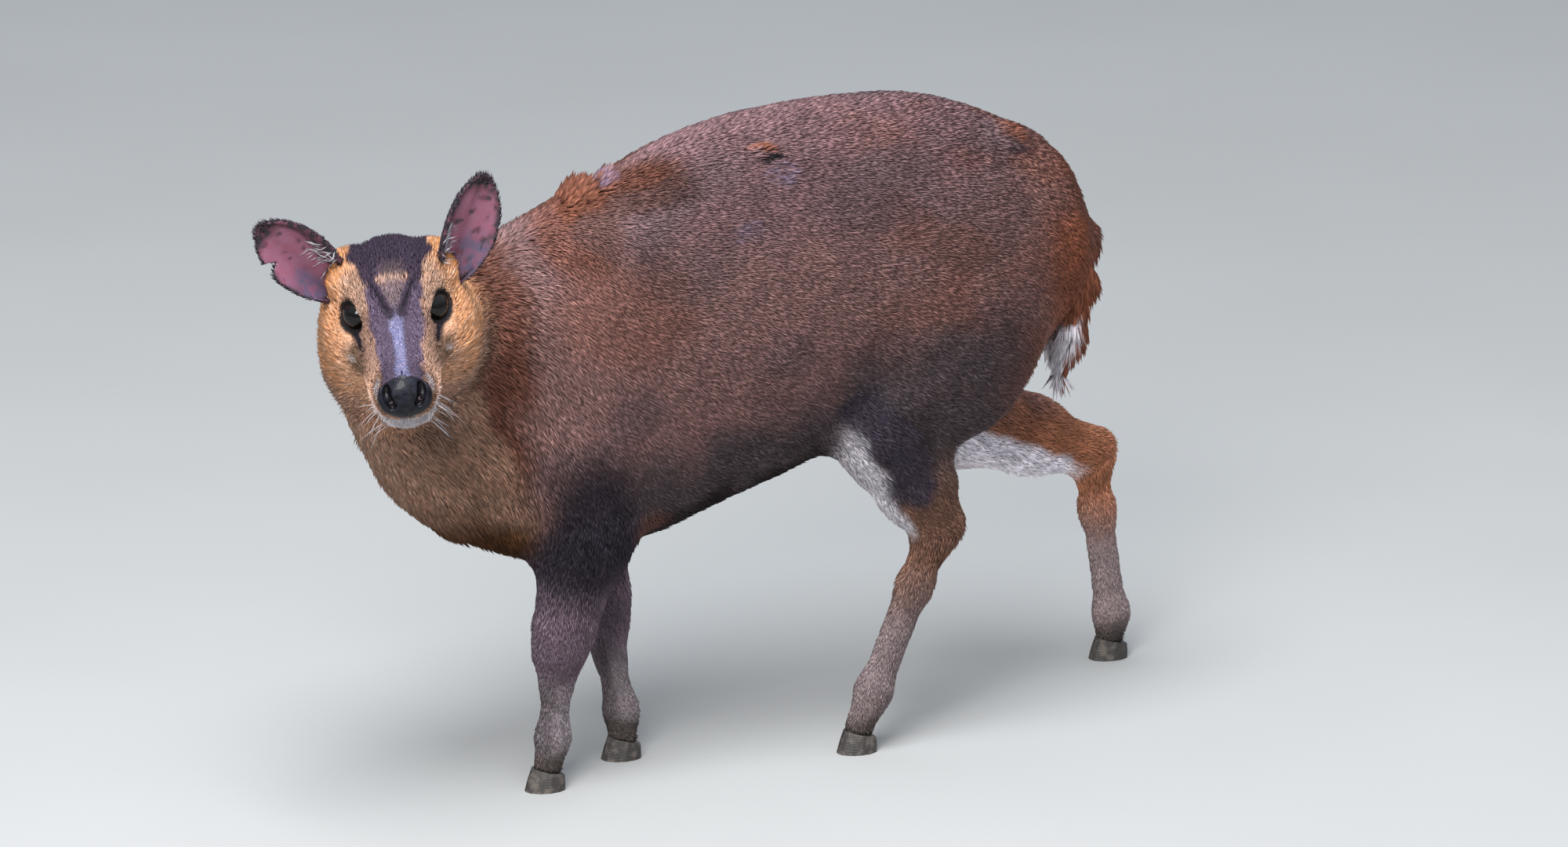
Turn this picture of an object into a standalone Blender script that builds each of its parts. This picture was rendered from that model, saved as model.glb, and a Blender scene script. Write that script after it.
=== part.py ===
"""A muntjac doe, life size, standing with her head turned to her left.

Metres, +Z up. She faces -X, her left side is towards -Y, and her hooves stand on z = 0.
The flesh is a set of lumps: ellipsoids, tapered bones and a barrel. Blender remeshes a rough
union of them, the skin settles onto their blended surface, and thin cuts part it into nodes.
"""
import math

import bmesh
import bpy
import numpy as np
from mathutils import Matrix, Vector

# Gap that touching pieces keep.
GAP = 0.0003

# Sides of her body: her left is +1 in the head's own frame.
SIDES = {"left": 1, "right": -1}

# Trunk stations along her length: x, height of the back, height of the belly, half width.
TRUNK = (
    (-0.225, 0.384, 0.208, 0.042),
    (-0.180, 0.410, 0.173, 0.064),
    (-0.130, 0.438, 0.165, 0.077),
    (-0.080, 0.465, 0.176, 0.084),
    (-0.030, 0.481, 0.193, 0.088),
    (0.030, 0.489, 0.214, 0.090),
    (0.080, 0.491, 0.237, 0.088),
    (0.120, 0.489, 0.253, 0.084),
    (0.160, 0.480, 0.263, 0.077),
    (0.200, 0.463, 0.273, 0.065),
    (0.235, 0.444, 0.292, 0.049),
    (0.258, 0.416, 0.318, 0.034),
    (0.271, 0.384, 0.344, 0.016),
)
TRUNK_ROOF = 0.14          # how much narrower the barrel is above its middle than below

# Head: where the eyes' midpoint is, and how the head is turned.
EYE_MIDDLE = Vector((-0.312, -0.110, 0.393))
HEAD_TURN = 74.5           # degrees from straight ahead, to her left
HEAD_DROP = 28.0           # degrees that the nose points below level
HEAD_TILT = 7.0            # degrees that her left eye is raised
EYE_AT = (-0.003, 0.0250, 0.000)   # her left eyeball, in the head's own frame
EYE_LOOKS = (0.70, 0.64, 0.31)     # where that eye looks
EYE_RADIUS = 0.0128
LID_RADIUS = 0.0101        # of the ring that the lids make, and how much longer than high it is
LID_THICK = 0.0016
LID_STRETCH = 1.14
LID_REACH = 0.0135         # from the eyeball's centre
LID_FILLET = 0.0020
EYE_OPENS = 0.0122         # how far before the eyeball's centre the opening between the lids begins
NOSE_FROM = 0.0690         # how far along NOSE_FACING the bare nose begins
NOSE_FACING = (0.904, 0, 0.428)
NOSE_SPARE = 0.003         # the finer mesh of the nose begins this far behind its edge
CARVING_REACH = 0.0025     # of the fillet round every groove

HEAD_CENTRE = (0.012, 0, -0.008)   # of the round cut that parts the head from the neck
HEAD_REACH = 0.086
NECK_CUT = ((-0.206, 0, 0.300), (-0.93, -0.10, 0.36))   # a point and a normal of the cut below the neck

# Ears.
# Where each is rooted, where its tip points and where it opens, in the head's own frame.
EARS = {
    "left": ((-0.034, 0.0365, -0.003), (-0.020, 0.032, 0.064), (0.890, 0.380, 0.170)),
    "right": ((-0.036, -0.0400, -0.004), (0.000, -0.041, 0.057), (0.885, 0.390, 0.255)),
}
EAR_LENGTH = 0.084
EAR_WIDTH = 0.048
EAR_THICK = 0.0022
EAR_ROWS = (0.00, 0.13, 0.27, 0.42, 0.56, 0.70, 0.82, 0.91, 0.97, 1.00)   # along the ear
EAR_SPREAD = (0.62, 0.82, 0.95, 1.00, 0.97, 0.86, 0.68, 0.48, 0.28, 0.10)  # its half width there
EAR_CURL = (2.00, 1.70, 1.40, 1.18, 1.00, 0.84, 0.70, 0.60, 0.50, 0.40)    # how far round it curls
EAR_COLUMNS = 8
NICK = ((0.66, -0.48), (0.80, -1.25), (0.64, -1.25))   # along and across the right ear

# The joints of each leg in the photographed stride, from the elbow or the hip down to the toe.
FORE_JOINTS = {
    "left": (
        (-0.150, -0.053, 0.190), (-0.1670, -0.0470, 0.104), (-0.1700, -0.0420, 0.040),
        (-0.1745, -0.0405, 0.016),
    ),
    "right": (
        (-0.112, 0.048, 0.186), (-0.1050, 0.0240, 0.102), (-0.0960, 0.0120, 0.036),
        (-0.0960, 0.0090, 0.014),
    ),
}
HIND_JOINTS = {
    "left": (
        (0.150, -0.042, 0.326), (0.090, -0.056, 0.246), (0.1310, -0.0480, 0.168), (0.0825, -0.0440, 0.046),
        (0.0710, -0.0425, 0.018),
    ),
    "right": (
        (0.196, 0.044, 0.322), (0.190, 0.062, 0.220), (0.3110, 0.0820, 0.170), (0.3360, 0.0960, 0.038),
        (0.3375, 0.1010, 0.014),
    ),
}
# A point and a normal of the cut above each hind leg.
HIND_CUTS = {
    "left": ((0.055, -0.060, 0.236), (0.20, -0.65, -0.93)),
    "right": ((0.190, 0.060, 0.250), (0.30, 0.35, -0.90)),
}
WRIST_CUT = 0.010          # how far below the wrist, and below the hock, the cannons begin
HOCK_CUT = 0.020

# Hooves: each foot has two claws.
HOOF_LENGTH = 0.0285
CLAW_WIDTH = 0.0112
CLEFT = 0.0010             # between the two claws
HOOF_HEIGHT = 0.019        # at the toe
HEEL_HEIGHT = 0.012
# The outline of half a sole, from heel to toe: along the claw and out from the cleft.
SOLE_SHAPE = (
    (-0.50, 0.10), (-0.50, 0.62), (-0.30, 0.92), (-0.02, 1.00), (0.24, 0.82), (0.43, 0.46), (0.50, 0.05),
)
# Heights up a claw, as shares, and how much narrower it is there.
CLAW_TAPER = ((0.0, 1.0), (0.5, 0.92), (1.0, 0.80))

# Tail.
TAIL_ROOT = Vector((0.255, 0.000, 0.368))

# Meshing.
BODY_VOXEL = 0.0042
HEAD_VOXEL = 0.0014
NOSE_VOXEL = 0.0008
TAIL_VOXEL = 0.0020
BODY_TRIANGLES = 6200
HEAD_TRIANGLES = 5400
NOSE_TRIANGLES = 900
TAIL_TRIANGLES = 420
EYE_GRID = (18, 10)        # segments and rings
KNIFE_GRID = (40, 20)

COLOURS = {
    "coat": (0.230, 0.105, 0.055),
    "face": (0.500, 0.230, 0.080),
    "leg": (0.110, 0.065, 0.045),
    "tail": (0.420, 0.150, 0.050),
    "ear": (0.300, 0.160, 0.150),
    "eye": (0.010, 0.007, 0.006),
    "nose": (0.020, 0.020, 0.028),
    "hoof": (0.045, 0.038, 0.034),
}
ROUGHNESS = {"eye": 0.05, "nose": 0.30, "hoof": 0.55}


def head_axes():
    """Her nose's direction, her left and her crown's direction, as three unit vectors."""
    turn, drop, tilt = (math.radians(a) for a in (HEAD_TURN, HEAD_DROP, HEAD_TILT))
    level = Vector((-math.cos(turn), -math.sin(turn), 0))
    nose = level * math.cos(drop) - Vector((0, 0, math.sin(drop)))
    left = Vector((0, 0, 1)).cross(level).normalized()
    crown = nose.cross(left)
    raised = left * math.cos(tilt) + crown * math.sin(tilt)
    return nose, raised, nose.cross(raised)


NOSE, LEFT, CROWN = head_axes()
HEAD_TURNED = Matrix((NOSE, LEFT, CROWN)).transposed()


def on_head(forward, left, up):
    """A point of the head's own frame, whose origin is midway between the eyes."""
    return EYE_MIDDLE + HEAD_TURNED @ Vector((forward, left, up))


class Ball:
    """An ellipsoid of flesh."""

    def __init__(self, centre, radii, turned=Matrix.Identity(3)):
        self.centre = np.array(centre, float)
        self.radii = np.array(radii, float)
        self.turned = np.array(turned, float)

    def field(self, points):
        local = (points - self.centre) @ self.turned / self.radii
        shell = np.linalg.norm(local, axis=1) + 1e-9
        return shell * (shell - 1) / (np.linalg.norm(local / self.radii, axis=1) + 1e-9)

    def hulls(self):
        return [self.centre + (unit_sphere() * self.radii) @ self.turned.T]


class Bone:
    """A tapered capsule of flesh from a to b, narrowed to `flat` of its radius along `across`."""

    def __init__(self, a, b, radius_a, radius_b, flat=1.0, across=(0, 1, 0)):
        self.a, self.b = np.array(a, float), np.array(b, float)
        self.radius_a, self.radius_b, self.flat = radius_a, radius_b, flat
        self.across = np.array(across, float) / np.linalg.norm(across)

    def field(self, points):
        along = self.b - self.a
        share = np.clip((points - self.a) @ along / (along @ along), 0, 1)
        off = points - self.a - share[:, None] * along
        off = off + np.outer(off @ self.across, self.across) * (1 / self.flat - 1)
        radius = self.radius_a + share * (self.radius_b - self.radius_a)
        return (np.linalg.norm(off, axis=1) - radius) * (0.5 + 0.5 * self.flat)

    def hulls(self):
        ball = unit_sphere()
        ball = ball - np.outer(ball @ self.across, self.across) * (1 - self.flat)
        return [np.vstack([self.a + ball * self.radius_a, self.b + ball * self.radius_b])]


class Lids:
    """Both lids of one eye: a ring that lies on the eyeball, longer along `along` than across it."""

    def __init__(self, centre, looks, along):
        along = (along - looks * looks.dot(along)).normalized()
        self.centre = np.array(centre, float)
        self.frame = np.array((looks, along, looks.cross(along)), float).T

    def field(self, points):
        local = (points - self.centre) @ self.frame
        off = np.hypot(local[:, 1] / LID_STRETCH, local[:, 2]) - LID_RADIUS
        return np.hypot(off, np.linalg.norm(local, axis=1) - LID_REACH) - LID_THICK


class Barrel:
    """The trunk: rounded sections whose top, bottom and half width follow stations along x."""

    def __init__(self, stations):
        self.stations = np.array(stations)
        self.span = self.stations[[0, -1], 0]

    def section(self, x):
        """The middle height, half height and half width at x, on a smooth curve through the stations."""
        rows = self.stations
        slopes = np.gradient(rows[:, 1:], rows[:, 0], axis=0)
        i = np.clip(np.searchsorted(rows[:, 0], x) - 1, 0, len(rows) - 2)
        step = rows[i + 1, 0] - rows[i, 0]
        t = ((x - rows[i, 0]) / step)[:, None]
        here = (
            (2 * t**3 - 3 * t**2 + 1) * rows[i, 1:]
            + (t**3 - 2 * t**2 + t) * step[:, None] * slopes[i]
            + (3 * t**2 - 2 * t**3) * rows[i + 1, 1:]
            + (t**3 - t**2) * step[:, None] * slopes[i + 1]
        )
        return (here[:, 0] + here[:, 1]) / 2, (here[:, 0] - here[:, 1]) / 2, here[:, 2]

    def field(self, points):
        x = np.clip(points[:, 0], *self.span)
        middle, half_height, half_width = self.section(x)
        rise = (points[:, 2] - middle) / half_height
        width = half_width * (1 - TRUNK_ROOF * np.clip(rise, -1, 1))
        shell = np.hypot(points[:, 1] / width, rise) + 1e-6
        reach = np.hypot(points[:, 1], points[:, 2] - middle) + 1e-6
        radial = reach * (1 - 1 / shell)
        return np.hypot(np.maximum(radial, 0), points[:, 0] - x) + np.minimum(radial, 0)

    def hulls(self):
        angle = np.linspace(0, 2 * math.pi, 24, endpoint=False)
        rings = []
        for x, top, bottom, half_width in self.stations:
            height = (top + bottom) / 2 + (top - bottom) / 2 * np.cos(angle)
            rings.append(np.stack([np.full(24, x), half_width * np.sin(angle), height], 1))
        return [np.vstack(pair) for pair in zip(rings, rings[1:])]


def unit_sphere(rings=8, around=12):
    up = np.linspace(0, math.pi, rings)[:, None]
    turn = np.linspace(0, 2 * math.pi, around, endpoint=False)[None, :]
    x, y, z = np.sin(up) * np.cos(turn), np.sin(up) * np.sin(turn), np.cos(up) + 0 * turn
    return np.stack([x, y, z], -1).reshape(-1, 3)


def blend(a, b, reach):
    """The union of two fields, filleted over `reach`."""
    share = np.clip(0.5 + 0.5 * (b - a) / reach, 0, 1)
    return b + (a - b) * share - reach * share * (1 - share)


def both_sides(make):
    """A list made for her left side and again for her right."""
    return [lump for side in (1, -1) for lump in make(side)]


# Each group: the reach of the fillets inside it and of its fillet to the groups before it, and its lumps.
def trunk_group():
    def muscles(side):
        y = -side
        return [
            # Shoulder blade and haunch.
            Bone((-0.105, 0.046 * y, 0.385), (-0.160, 0.054 * y, 0.262), 0.034, 0.046, 0.62),
            Ball((0.148, 0.048 * y, 0.325), (0.066, 0.040, 0.092)),
        ]

    return 0.030, 0.0, [Barrel(TRUNK), *both_sides(muscles)]


def neck_group():
    return 0.030, 0.045, [
        # Nape, brisket and throat.
        Bone((-0.160, 0.000, 0.320), (-0.235, -0.015, 0.330), 0.094, 0.062, 0.80),
        Ball((-0.205, -0.006, 0.252), (0.066, 0.052, 0.066)),
        *collar(),
    ]


def collar():
    """The part of the neck that the head sits on."""
    return [
        Bone((-0.235, -0.015, 0.330), (-0.292, -0.062, 0.366), 0.062, 0.046, 0.90),
        Bone((-0.250, -0.022, 0.266), (-0.296, -0.060, 0.318), 0.051, 0.040, 0.90),
    ]


def head_group():
    def ball(at, radii):
        return Ball(on_head(*at), radii, HEAD_TURNED)

    def bone(a, b, radius_a, radius_b, flat=1.0):
        return Bone(on_head(*a), on_head(*b), radius_a, radius_b, flat, LEFT)

    def side_lumps(side):
        return [
            # Cheek, jowl, side of the muzzle, jaw, brow, temple, upper lip, nostril and the ear's root.
            ball((-0.014, 0.0300 * side, -0.026), (0.042, 0.0230, 0.029)),
            ball((-0.014, 0.0300 * side, -0.050), (0.034, 0.0235, 0.026)),
            bone((0.004, 0.0170 * side, -0.016), (0.058, 0.0085 * side, -0.019), 0.0195, 0.0130),
            bone((-0.030, 0.026 * side, -0.040), (0.058, 0.006 * side, -0.0375), 0.020, 0.0105),
            ball((-0.008, 0.0235 * side, 0.0115), (0.021, 0.0090, 0.0075)),
            ball((-0.030, 0.0270 * side, 0.0080), (0.026, 0.0180, 0.0175)),
            ball((0.058, 0.0105 * side, -0.021), (0.022, 0.0105, 0.0110)),
            ball((0.0735, 0.0112 * side, -0.0088), (0.0120, 0.0074, 0.0092)),
            ball((-0.046, 0.0310 * side, 0.001), (0.018, 0.0130, 0.0155)),
        ]

    return 0.010, 0.022, [
        # Cranium, forehead, muzzle, bridge of the nose, nose end, throat and chin.
        ball((-0.030, 0, -0.001), (0.040, 0.0365, 0.031)),
        ball((-0.008, 0, 0.002), (0.042, 0.030, 0.028)),
        bone((0.000, 0, -0.008), (0.066, 0, -0.0135), 0.027, 0.0190, 0.90),
        bone((0.000, 0, 0.008), (0.066, 0, -0.003), 0.0165, 0.0120, 0.95),
        ball((0.0725, 0, -0.0115), (0.0148, 0.0150, 0.0160)),
        bone((-0.028, 0, -0.032), (0.050, 0, -0.038), 0.028, 0.0120),
        ball((0.057, 0, -0.0435), (0.0125, 0.0145, 0.0110)),
        *both_sides(side_lumps),
    ]


def eye_line(side):
    """An eyeball's centre, and the direction it looks in."""
    forward, out, up = EYE_AT
    looks = HEAD_TURNED @ Vector((EYE_LOOKS[0], EYE_LOOKS[1] * side, EYE_LOOKS[2])).normalized()
    return on_head(forward, out * side, up), looks


def groove(a, b, radius):
    return Bone(on_head(*a), on_head(*b), radius, radius)


def head_carvings():
    """What is hollowed out of the head: the eyes' openings, the mouth's line and the scent slits."""
    def side_carvings(side):
        centre, looks = eye_line(side)
        return [
            Bone(centre + looks * EYE_OPENS, centre + looks * 0.030, 0.0108, 0.0165, 0.88, looks.cross(NOSE)),
            groove((0.0790, 0.001 * side, -0.0330), (0.0640, 0.0165 * side, -0.0330), 0.0018),
            groove((0.0640, 0.0165 * side, -0.0330), (0.0400, 0.0260 * side, -0.0355), 0.0018),
            groove((0.0150, 0.0325 * side, -0.0030), (0.0270, 0.0285 * side, -0.0090), 0.0022),
        ]

    return both_sides(side_carvings)


def nostrils():
    def nostril(side):
        return [
            groove((0.0800, 0.0130 * side, 0.0030), (0.0846, 0.0126 * side, -0.0020), 0.0027),
            groove((0.0846, 0.0126 * side, -0.0020), (0.0884, 0.0098 * side, -0.0070), 0.0022),
        ]

    return both_sides(nostril)


def lids():
    return both_sides(lambda side: [Lids(*eye_line(side), NOSE)])


def fore_leg(side, elbow, wrist, fetlock, toe):
    """Upper arm, forearm, wrist, cannon, fetlock and pastern. The points are its joints."""
    shoulder = elbow + Vector((-0.006, -0.004 * side, 0.070))
    above = wrist.lerp(elbow, 0.22)
    below = wrist.lerp(fetlock, 0.35)
    return 0.010, 0.024, [
        Bone(shoulder, elbow, 0.043, 0.037, 0.72),
        Bone(elbow, above, 0.035, 0.0225, 0.80),
        Bone(above, wrist, 0.0215, 0.0185, 0.85),
        Bone(wrist, below, 0.0165, 0.0112, 0.90),
        Bone(below, fetlock, 0.0108, 0.0115, 0.92),
        Bone(fetlock, toe, 0.0118, 0.0108, 0.95),
    ]


def hind_leg(side, hip, stifle, hock, fetlock, toe):
    """Thigh, lower thigh, hock, cannon, fetlock and pastern. The points are its joints."""
    heel = hock + (hock - fetlock).normalized() * 0.006 + Vector((0.006, 0, 0.001))
    middle = stifle.lerp(hock, 0.55)
    below = hock.lerp(fetlock, 0.35)
    return 0.012, 0.020, [
        Bone(hip, stifle, 0.056, 0.041, 0.60),
        Bone(stifle, middle, 0.041, 0.0300, 0.64),
        Bone(middle, hock, 0.0295, 0.0185, 0.75),
        Bone(hock.lerp(stifle, 0.2), heel, 0.0130, 0.0090, 0.80),
        Bone(hock, below, 0.0165, 0.0125, 0.75),
        Bone(below, fetlock, 0.0122, 0.0122, 0.85),
        Bone(fetlock, toe, 0.0122, 0.0108, 0.95),
    ]


FORE_LEGS = {name: fore_leg(SIDES[name], *map(Vector, joints)) for name, joints in FORE_JOINTS.items()}
HIND_LEGS = {name: hind_leg(SIDES[name], *map(Vector, joints)) for name, joints in HIND_JOINTS.items()}


def tail_group():
    return 0.008, 0.0, [
        Bone(TAIL_ROOT, (0.2620, 0.000, 0.336), 0.0165, 0.0150, 0.95, (1, 0, 0)),
        Bone((0.2600, 0.000, 0.336), (0.2520, 0.000, 0.298), 0.0205, 0.0220, 0.62, (1, 0, 0)),
        Bone((0.2510, 0.000, 0.298), (0.2500, 0.000, 0.260), 0.0215, 0.0060, 0.62, (1, 0, 0)),
    ]


BODY = [trunk_group(), neck_group(), *FORE_LEGS.values(), *HIND_LEGS.values(), head_group()]
HEAD = [(0.0, 0.0, collar()), head_group()]
TAIL = [tail_group()]
CARVINGS = head_carvings()
NOSTRILS = nostrils()
LIDS = lids()
NOSE_PLANE = HEAD_TURNED @ Vector(NOSE_FACING).normalized()


def union(groups, points):
    """The blended field of these groups: negative inside, zero on the skin."""
    whole = None
    for inner, outer, lumps in groups:
        group = lumps[0].field(points)
        for lump in lumps[1:]:
            group = blend(group, lump.field(points), inner)
        whole = group if whole is None else blend(whole, group, outer)
    return whole


def body_field(points):
    return union(BODY, points)


def carved(whole, carvings, points):
    for carving in carvings:
        whole = -blend(-whole, carving.field(points), CARVING_REACH)
    return whole


def head_field(points):
    whole = carved(union(BODY, points), CARVINGS, points)
    for lid in LIDS:
        whole = blend(whole, lid.field(points), LID_FILLET)
    return whole


def nose_field(points):
    """The head's field with the nostrils in it, from a little behind the plane where the bare nose begins."""
    behind = NOSE_FROM - NOSE_SPARE - (points - np.array(EYE_MIDDLE)) @ np.array(NOSE_PLANE)
    return np.maximum(carved(head_field(points), NOSTRILS, points), behind)


def tail_field(points):
    return union(TAIL, points)


def slope(field, points, value, step=0.0004):
    ahead = [(field(points + step * axis) - value) / step for axis in np.eye(3)]
    return np.stack(ahead, 1)


def object_from(name, bm):
    mesh = bpy.data.meshes.new(name)
    bm.to_mesh(mesh)
    bm.free()
    return made_object(name, mesh)


def made_object(name, mesh):
    obj = bpy.data.objects.new(name, mesh)
    bpy.context.collection.objects.link(obj)
    return obj


def apply_modifiers(obj):
    """Replaces the object's mesh by what its modifiers make of it."""
    graph = bpy.context.evaluated_depsgraph_get()
    mesh = bpy.data.meshes.new_from_object(obj.evaluated_get(graph))
    obj.modifiers.clear()
    old, obj.data = obj.data, mesh
    bpy.data.meshes.remove(old)


def rough_union(name, groups, voxel):
    """The lumps' hulls, remeshed into one closed skin of even quads."""
    bm = bmesh.new()
    for _, _, lumps in groups:
        for lump in lumps:
            for points in lump.hulls():
                made = bmesh.ops.convex_hull(bm, input=[bm.verts.new(p) for p in points])
                spare = set(made["geom_interior"] + made["geom_unused"]) & set(bm.verts)
                bmesh.ops.delete(bm, geom=list(spare), context="VERTS")
    obj = object_from(name, bm)
    remesh(obj, voxel)
    return obj


def remesh(obj, voxel):
    modifier = obj.modifiers.new("Remesh", "REMESH")
    modifier.mode = "VOXEL"
    modifier.voxel_size = voxel
    apply_modifiers(obj)


def coordinates(mesh):
    flat = np.empty(len(mesh.vertices) * 3, np.float32)
    mesh.vertices.foreach_get("co", flat)
    return flat.reshape(-1, 3).astype(float)


def set_coordinates(mesh, points):
    mesh.vertices.foreach_set("co", points.astype(np.float32).ravel())
    mesh.update()


def settle(obj, field, rounds, most=0.004):
    """Brings every vertex onto the field's zero, and evens the vertices out along it."""
    mesh = obj.data
    points = coordinates(mesh)
    ends = np.empty(len(mesh.edges) * 2, np.int32)
    mesh.edges.foreach_get("vertices", ends)
    ends = ends.reshape(-1, 2)
    ends = np.vstack([ends, ends[:, ::-1]])
    count = np.bincount(ends[:, 0], minlength=len(points))[:, None]
    for _ in range(rounds):
        total = np.stack([np.bincount(ends[:, 0], points[ends[:, 1], k], len(points)) for k in range(3)], 1)
        points += 0.5 * (total / count - points)
        for _ in range(2):
            value = field(points)
            steep = slope(field, points, value)
            move = value / np.maximum((steep**2).sum(1), 0.05)
            points -= steep * np.clip(move, -most, most)[:, None]
    set_coordinates(mesh, points)


def decimate(obj, triangles):
    obj.data.calc_loop_triangles()
    modifier = obj.modifiers.new("Decimate", "DECIMATE")
    modifier.ratio = min(1.0, triangles / len(obj.data.loop_triangles))
    modifier.use_collapse_triangulate = True
    apply_modifiers(obj)


def sculpt(name, groups, field, voxel, triangles):
    obj = rough_union(name, groups, voxel)
    for rounds in (5, 3):
        settle(obj, field, rounds)
        remesh(obj, voxel)
    decimate(obj, triangles)
    return obj


def keep_largest(obj):
    """Drops every closed surface of the mesh but the one with the most volume."""
    bm = bmesh.new()
    bm.from_mesh(obj.data)
    left = set(bm.faces)
    shells = []
    while left:
        front = [left.pop()]
        shell = list(front)
        while front:
            near = {f for e in front.pop().edges for f in e.link_faces} & left
            left -= near
            front += near
            shell += near
        shells.append(shell)
    shells.sort(key=lambda shell: sum(f.calc_center_median().dot(f.normal) * f.calc_area() for f in shell))
    spare = [f for shell in shells[:-1] for f in shell]
    bmesh.ops.delete(bm, geom=spare, context="FACES")
    bmesh.ops.triangulate(bm, faces=bm.faces)
    bm.to_mesh(obj.data)
    bm.free()


def boolean(obj, other, operation):
    modifier = obj.modifiers.new("Cut", "BOOLEAN")
    modifier.operation = operation
    modifier.object = other
    apply_modifiers(obj)


def remove(*objects):
    for obj in objects:
        bpy.data.objects.remove(obj)


def block(corners):
    """A convex block with these corners."""
    bm = bmesh.new()
    bmesh.ops.convex_hull(bm, input=[bm.verts.new(c) for c in corners])
    bmesh.ops.recalc_face_normals(bm, faces=bm.faces)
    return object_from("block", bm)


def box(low, high, grown):
    low, high = Vector(low) - Vector((grown,) * 3), Vector(high) + Vector((grown,) * 3)
    return block([(x, y, z) for x in (low.x, high.x) for y in (low.y, high.y) for z in (low.z, high.z)])


def half_space(point, normal, shift, reach=0.7):
    """A large block on the side of a plane that its normal points to, moved along it by `shift`."""
    normal = Vector(normal).normalized()
    bm = bmesh.new()
    bmesh.ops.create_cube(bm, size=2 * reach)
    turned = normal.to_track_quat("Z", "Y").to_matrix().to_4x4()
    middle = Vector(point) + normal * (reach + shift)
    bmesh.ops.transform(bm, verts=bm.verts, matrix=Matrix.Translation(middle) @ turned)
    return object_from("half space", bm)


def cutter(point, normal, shift, limits):
    made = half_space(point, normal, shift)
    if limits:
        limit = box(*limits, -shift)
        boolean(made, limit, "INTERSECT")
        remove(limit)
    return made


def part_off(obj, name, point, normal, limits=None):
    """Cuts obj by a plane. What lies on the normal's side, within the limits, becomes a new object."""
    off = made_object(name, obj.data.copy())
    for target, operation, shift in ((off, "INTERSECT", GAP / 2), (obj, "DIFFERENCE", -GAP / 2)):
        knife = cutter(point, normal, shift, limits)
        boolean(target, knife, operation)
        keep_largest(target)
        remove(knife)
    return off


def trim(obj, point, normal):
    """Takes off what lies on the normal's side of a plane."""
    knife = half_space(point, normal, 0.0)
    boolean(obj, knife, "DIFFERENCE")
    keep_largest(obj)
    remove(knife)


def clear_of(obj, other):
    """Takes the other object's room, and the gap round it, out of obj."""
    swollen = made_object("swollen", other.data.copy())
    mesh = swollen.data
    normals = np.empty(len(mesh.vertices) * 3, np.float32)
    mesh.vertices.foreach_get("normal", normals)
    set_coordinates(mesh, coordinates(mesh) + GAP * 1.3 * normals.reshape(-1, 3))
    boolean(obj, swollen, "DIFFERENCE")
    keep_largest(obj)
    remove(swollen)


def sphere(name, centre, radius, grid, axis=(0, 0, 1)):
    bm = bmesh.new()
    bmesh.ops.create_uvsphere(bm, u_segments=grid[0], v_segments=grid[1], radius=radius)
    bmesh.ops.triangulate(bm, faces=bm.faces)
    turned = Vector(axis).to_track_quat("Z", "Y").to_matrix().to_4x4()
    bmesh.ops.transform(bm, verts=bm.verts, matrix=Matrix.Translation(centre) @ turned)
    return object_from(name, bm)


def make_eye(name, side, head):
    """An eyeball, and the socket it leaves in the head."""
    centre, looks = eye_line(side)
    socket = sphere("socket", centre, EYE_RADIUS + GAP, EYE_GRID, looks)
    boolean(head, socket, "DIFFERENCE")
    keep_largest(head)
    remove(socket)
    return sphere(name, centre, EYE_RADIUS, EYE_GRID, looks)


def make_nose(head):
    """The bare nose: the head's tip, parted by a plane and meshed again more finely."""
    at_cut = EYE_MIDDLE + NOSE_PLANE * NOSE_FROM
    nose = made_object("nose", head.data.copy())
    trim(nose, at_cut - NOSE_PLANE * NOSE_SPARE, -NOSE_PLANE)
    remesh(nose, NOSE_VOXEL)
    settle(nose, nose_field, 3)
    remesh(nose, NOSE_VOXEL)
    trim(nose, at_cut + NOSE_PLANE * GAP / 2, -NOSE_PLANE)
    decimate(nose, NOSE_TRIANGLES)
    trim(head, at_cut - NOSE_PLANE * GAP / 2, NOSE_PLANE)
    return nose


class Ear:
    """An ear's middle sheet: a leaf that curls round its own length. s runs to the tip, t across."""

    def __init__(self, base, tip, opening):
        self.base = on_head(*base)
        self.along = HEAD_TURNED @ Vector(tip).normalized()
        opening = HEAD_TURNED @ Vector(opening)
        self.opening = (opening - self.along * self.along.dot(opening)).normalized()
        self.across = self.along.cross(self.opening)

    def at(self, s, t):
        reach = EAR_WIDTH / 2 * float(np.interp(s, EAR_ROWS, EAR_SPREAD)) * 1.12
        curl = float(np.interp(s, EAR_ROWS, EAR_CURL))
        side = reach / curl * math.sin(curl * t)
        lift = reach / curl * (1 - math.cos(curl * t))
        return self.base + self.along * (EAR_LENGTH * s) + self.across * side + self.opening * lift

    def solid(self, name):
        bm = bmesh.new()
        columns = [2 * i / EAR_COLUMNS - 1 for i in range(EAR_COLUMNS + 1)]
        grid = [[bm.verts.new(self.at(s, t)) for t in columns] for s in EAR_ROWS]
        for row, above in zip(grid, grid[1:]):
            for i in range(EAR_COLUMNS):
                bm.faces.new((row[i], row[i + 1], above[i + 1], above[i]))
        obj = object_from(name, bm)
        solidify = obj.modifiers.new("Solidify", "SOLIDIFY")
        solidify.thickness = EAR_THICK
        solidify.offset = 0
        apply_modifiers(obj)
        bm = bmesh.new()
        bm.from_mesh(obj.data)
        bmesh.ops.recalc_face_normals(bm, faces=bm.faces)
        bmesh.ops.triangulate(bm, faces=bm.faces)
        bm.to_mesh(obj.data)
        bm.free()
        return obj

    def nick(self, obj):
        """The notch in its edge."""
        corners = [self.at(s, t) + self.opening * lift for s, t in NICK for lift in (-0.008, 0.008)]
        notch = block(corners)
        boolean(obj, notch, "DIFFERENCE")
        keep_largest(obj)
        remove(notch)


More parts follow.
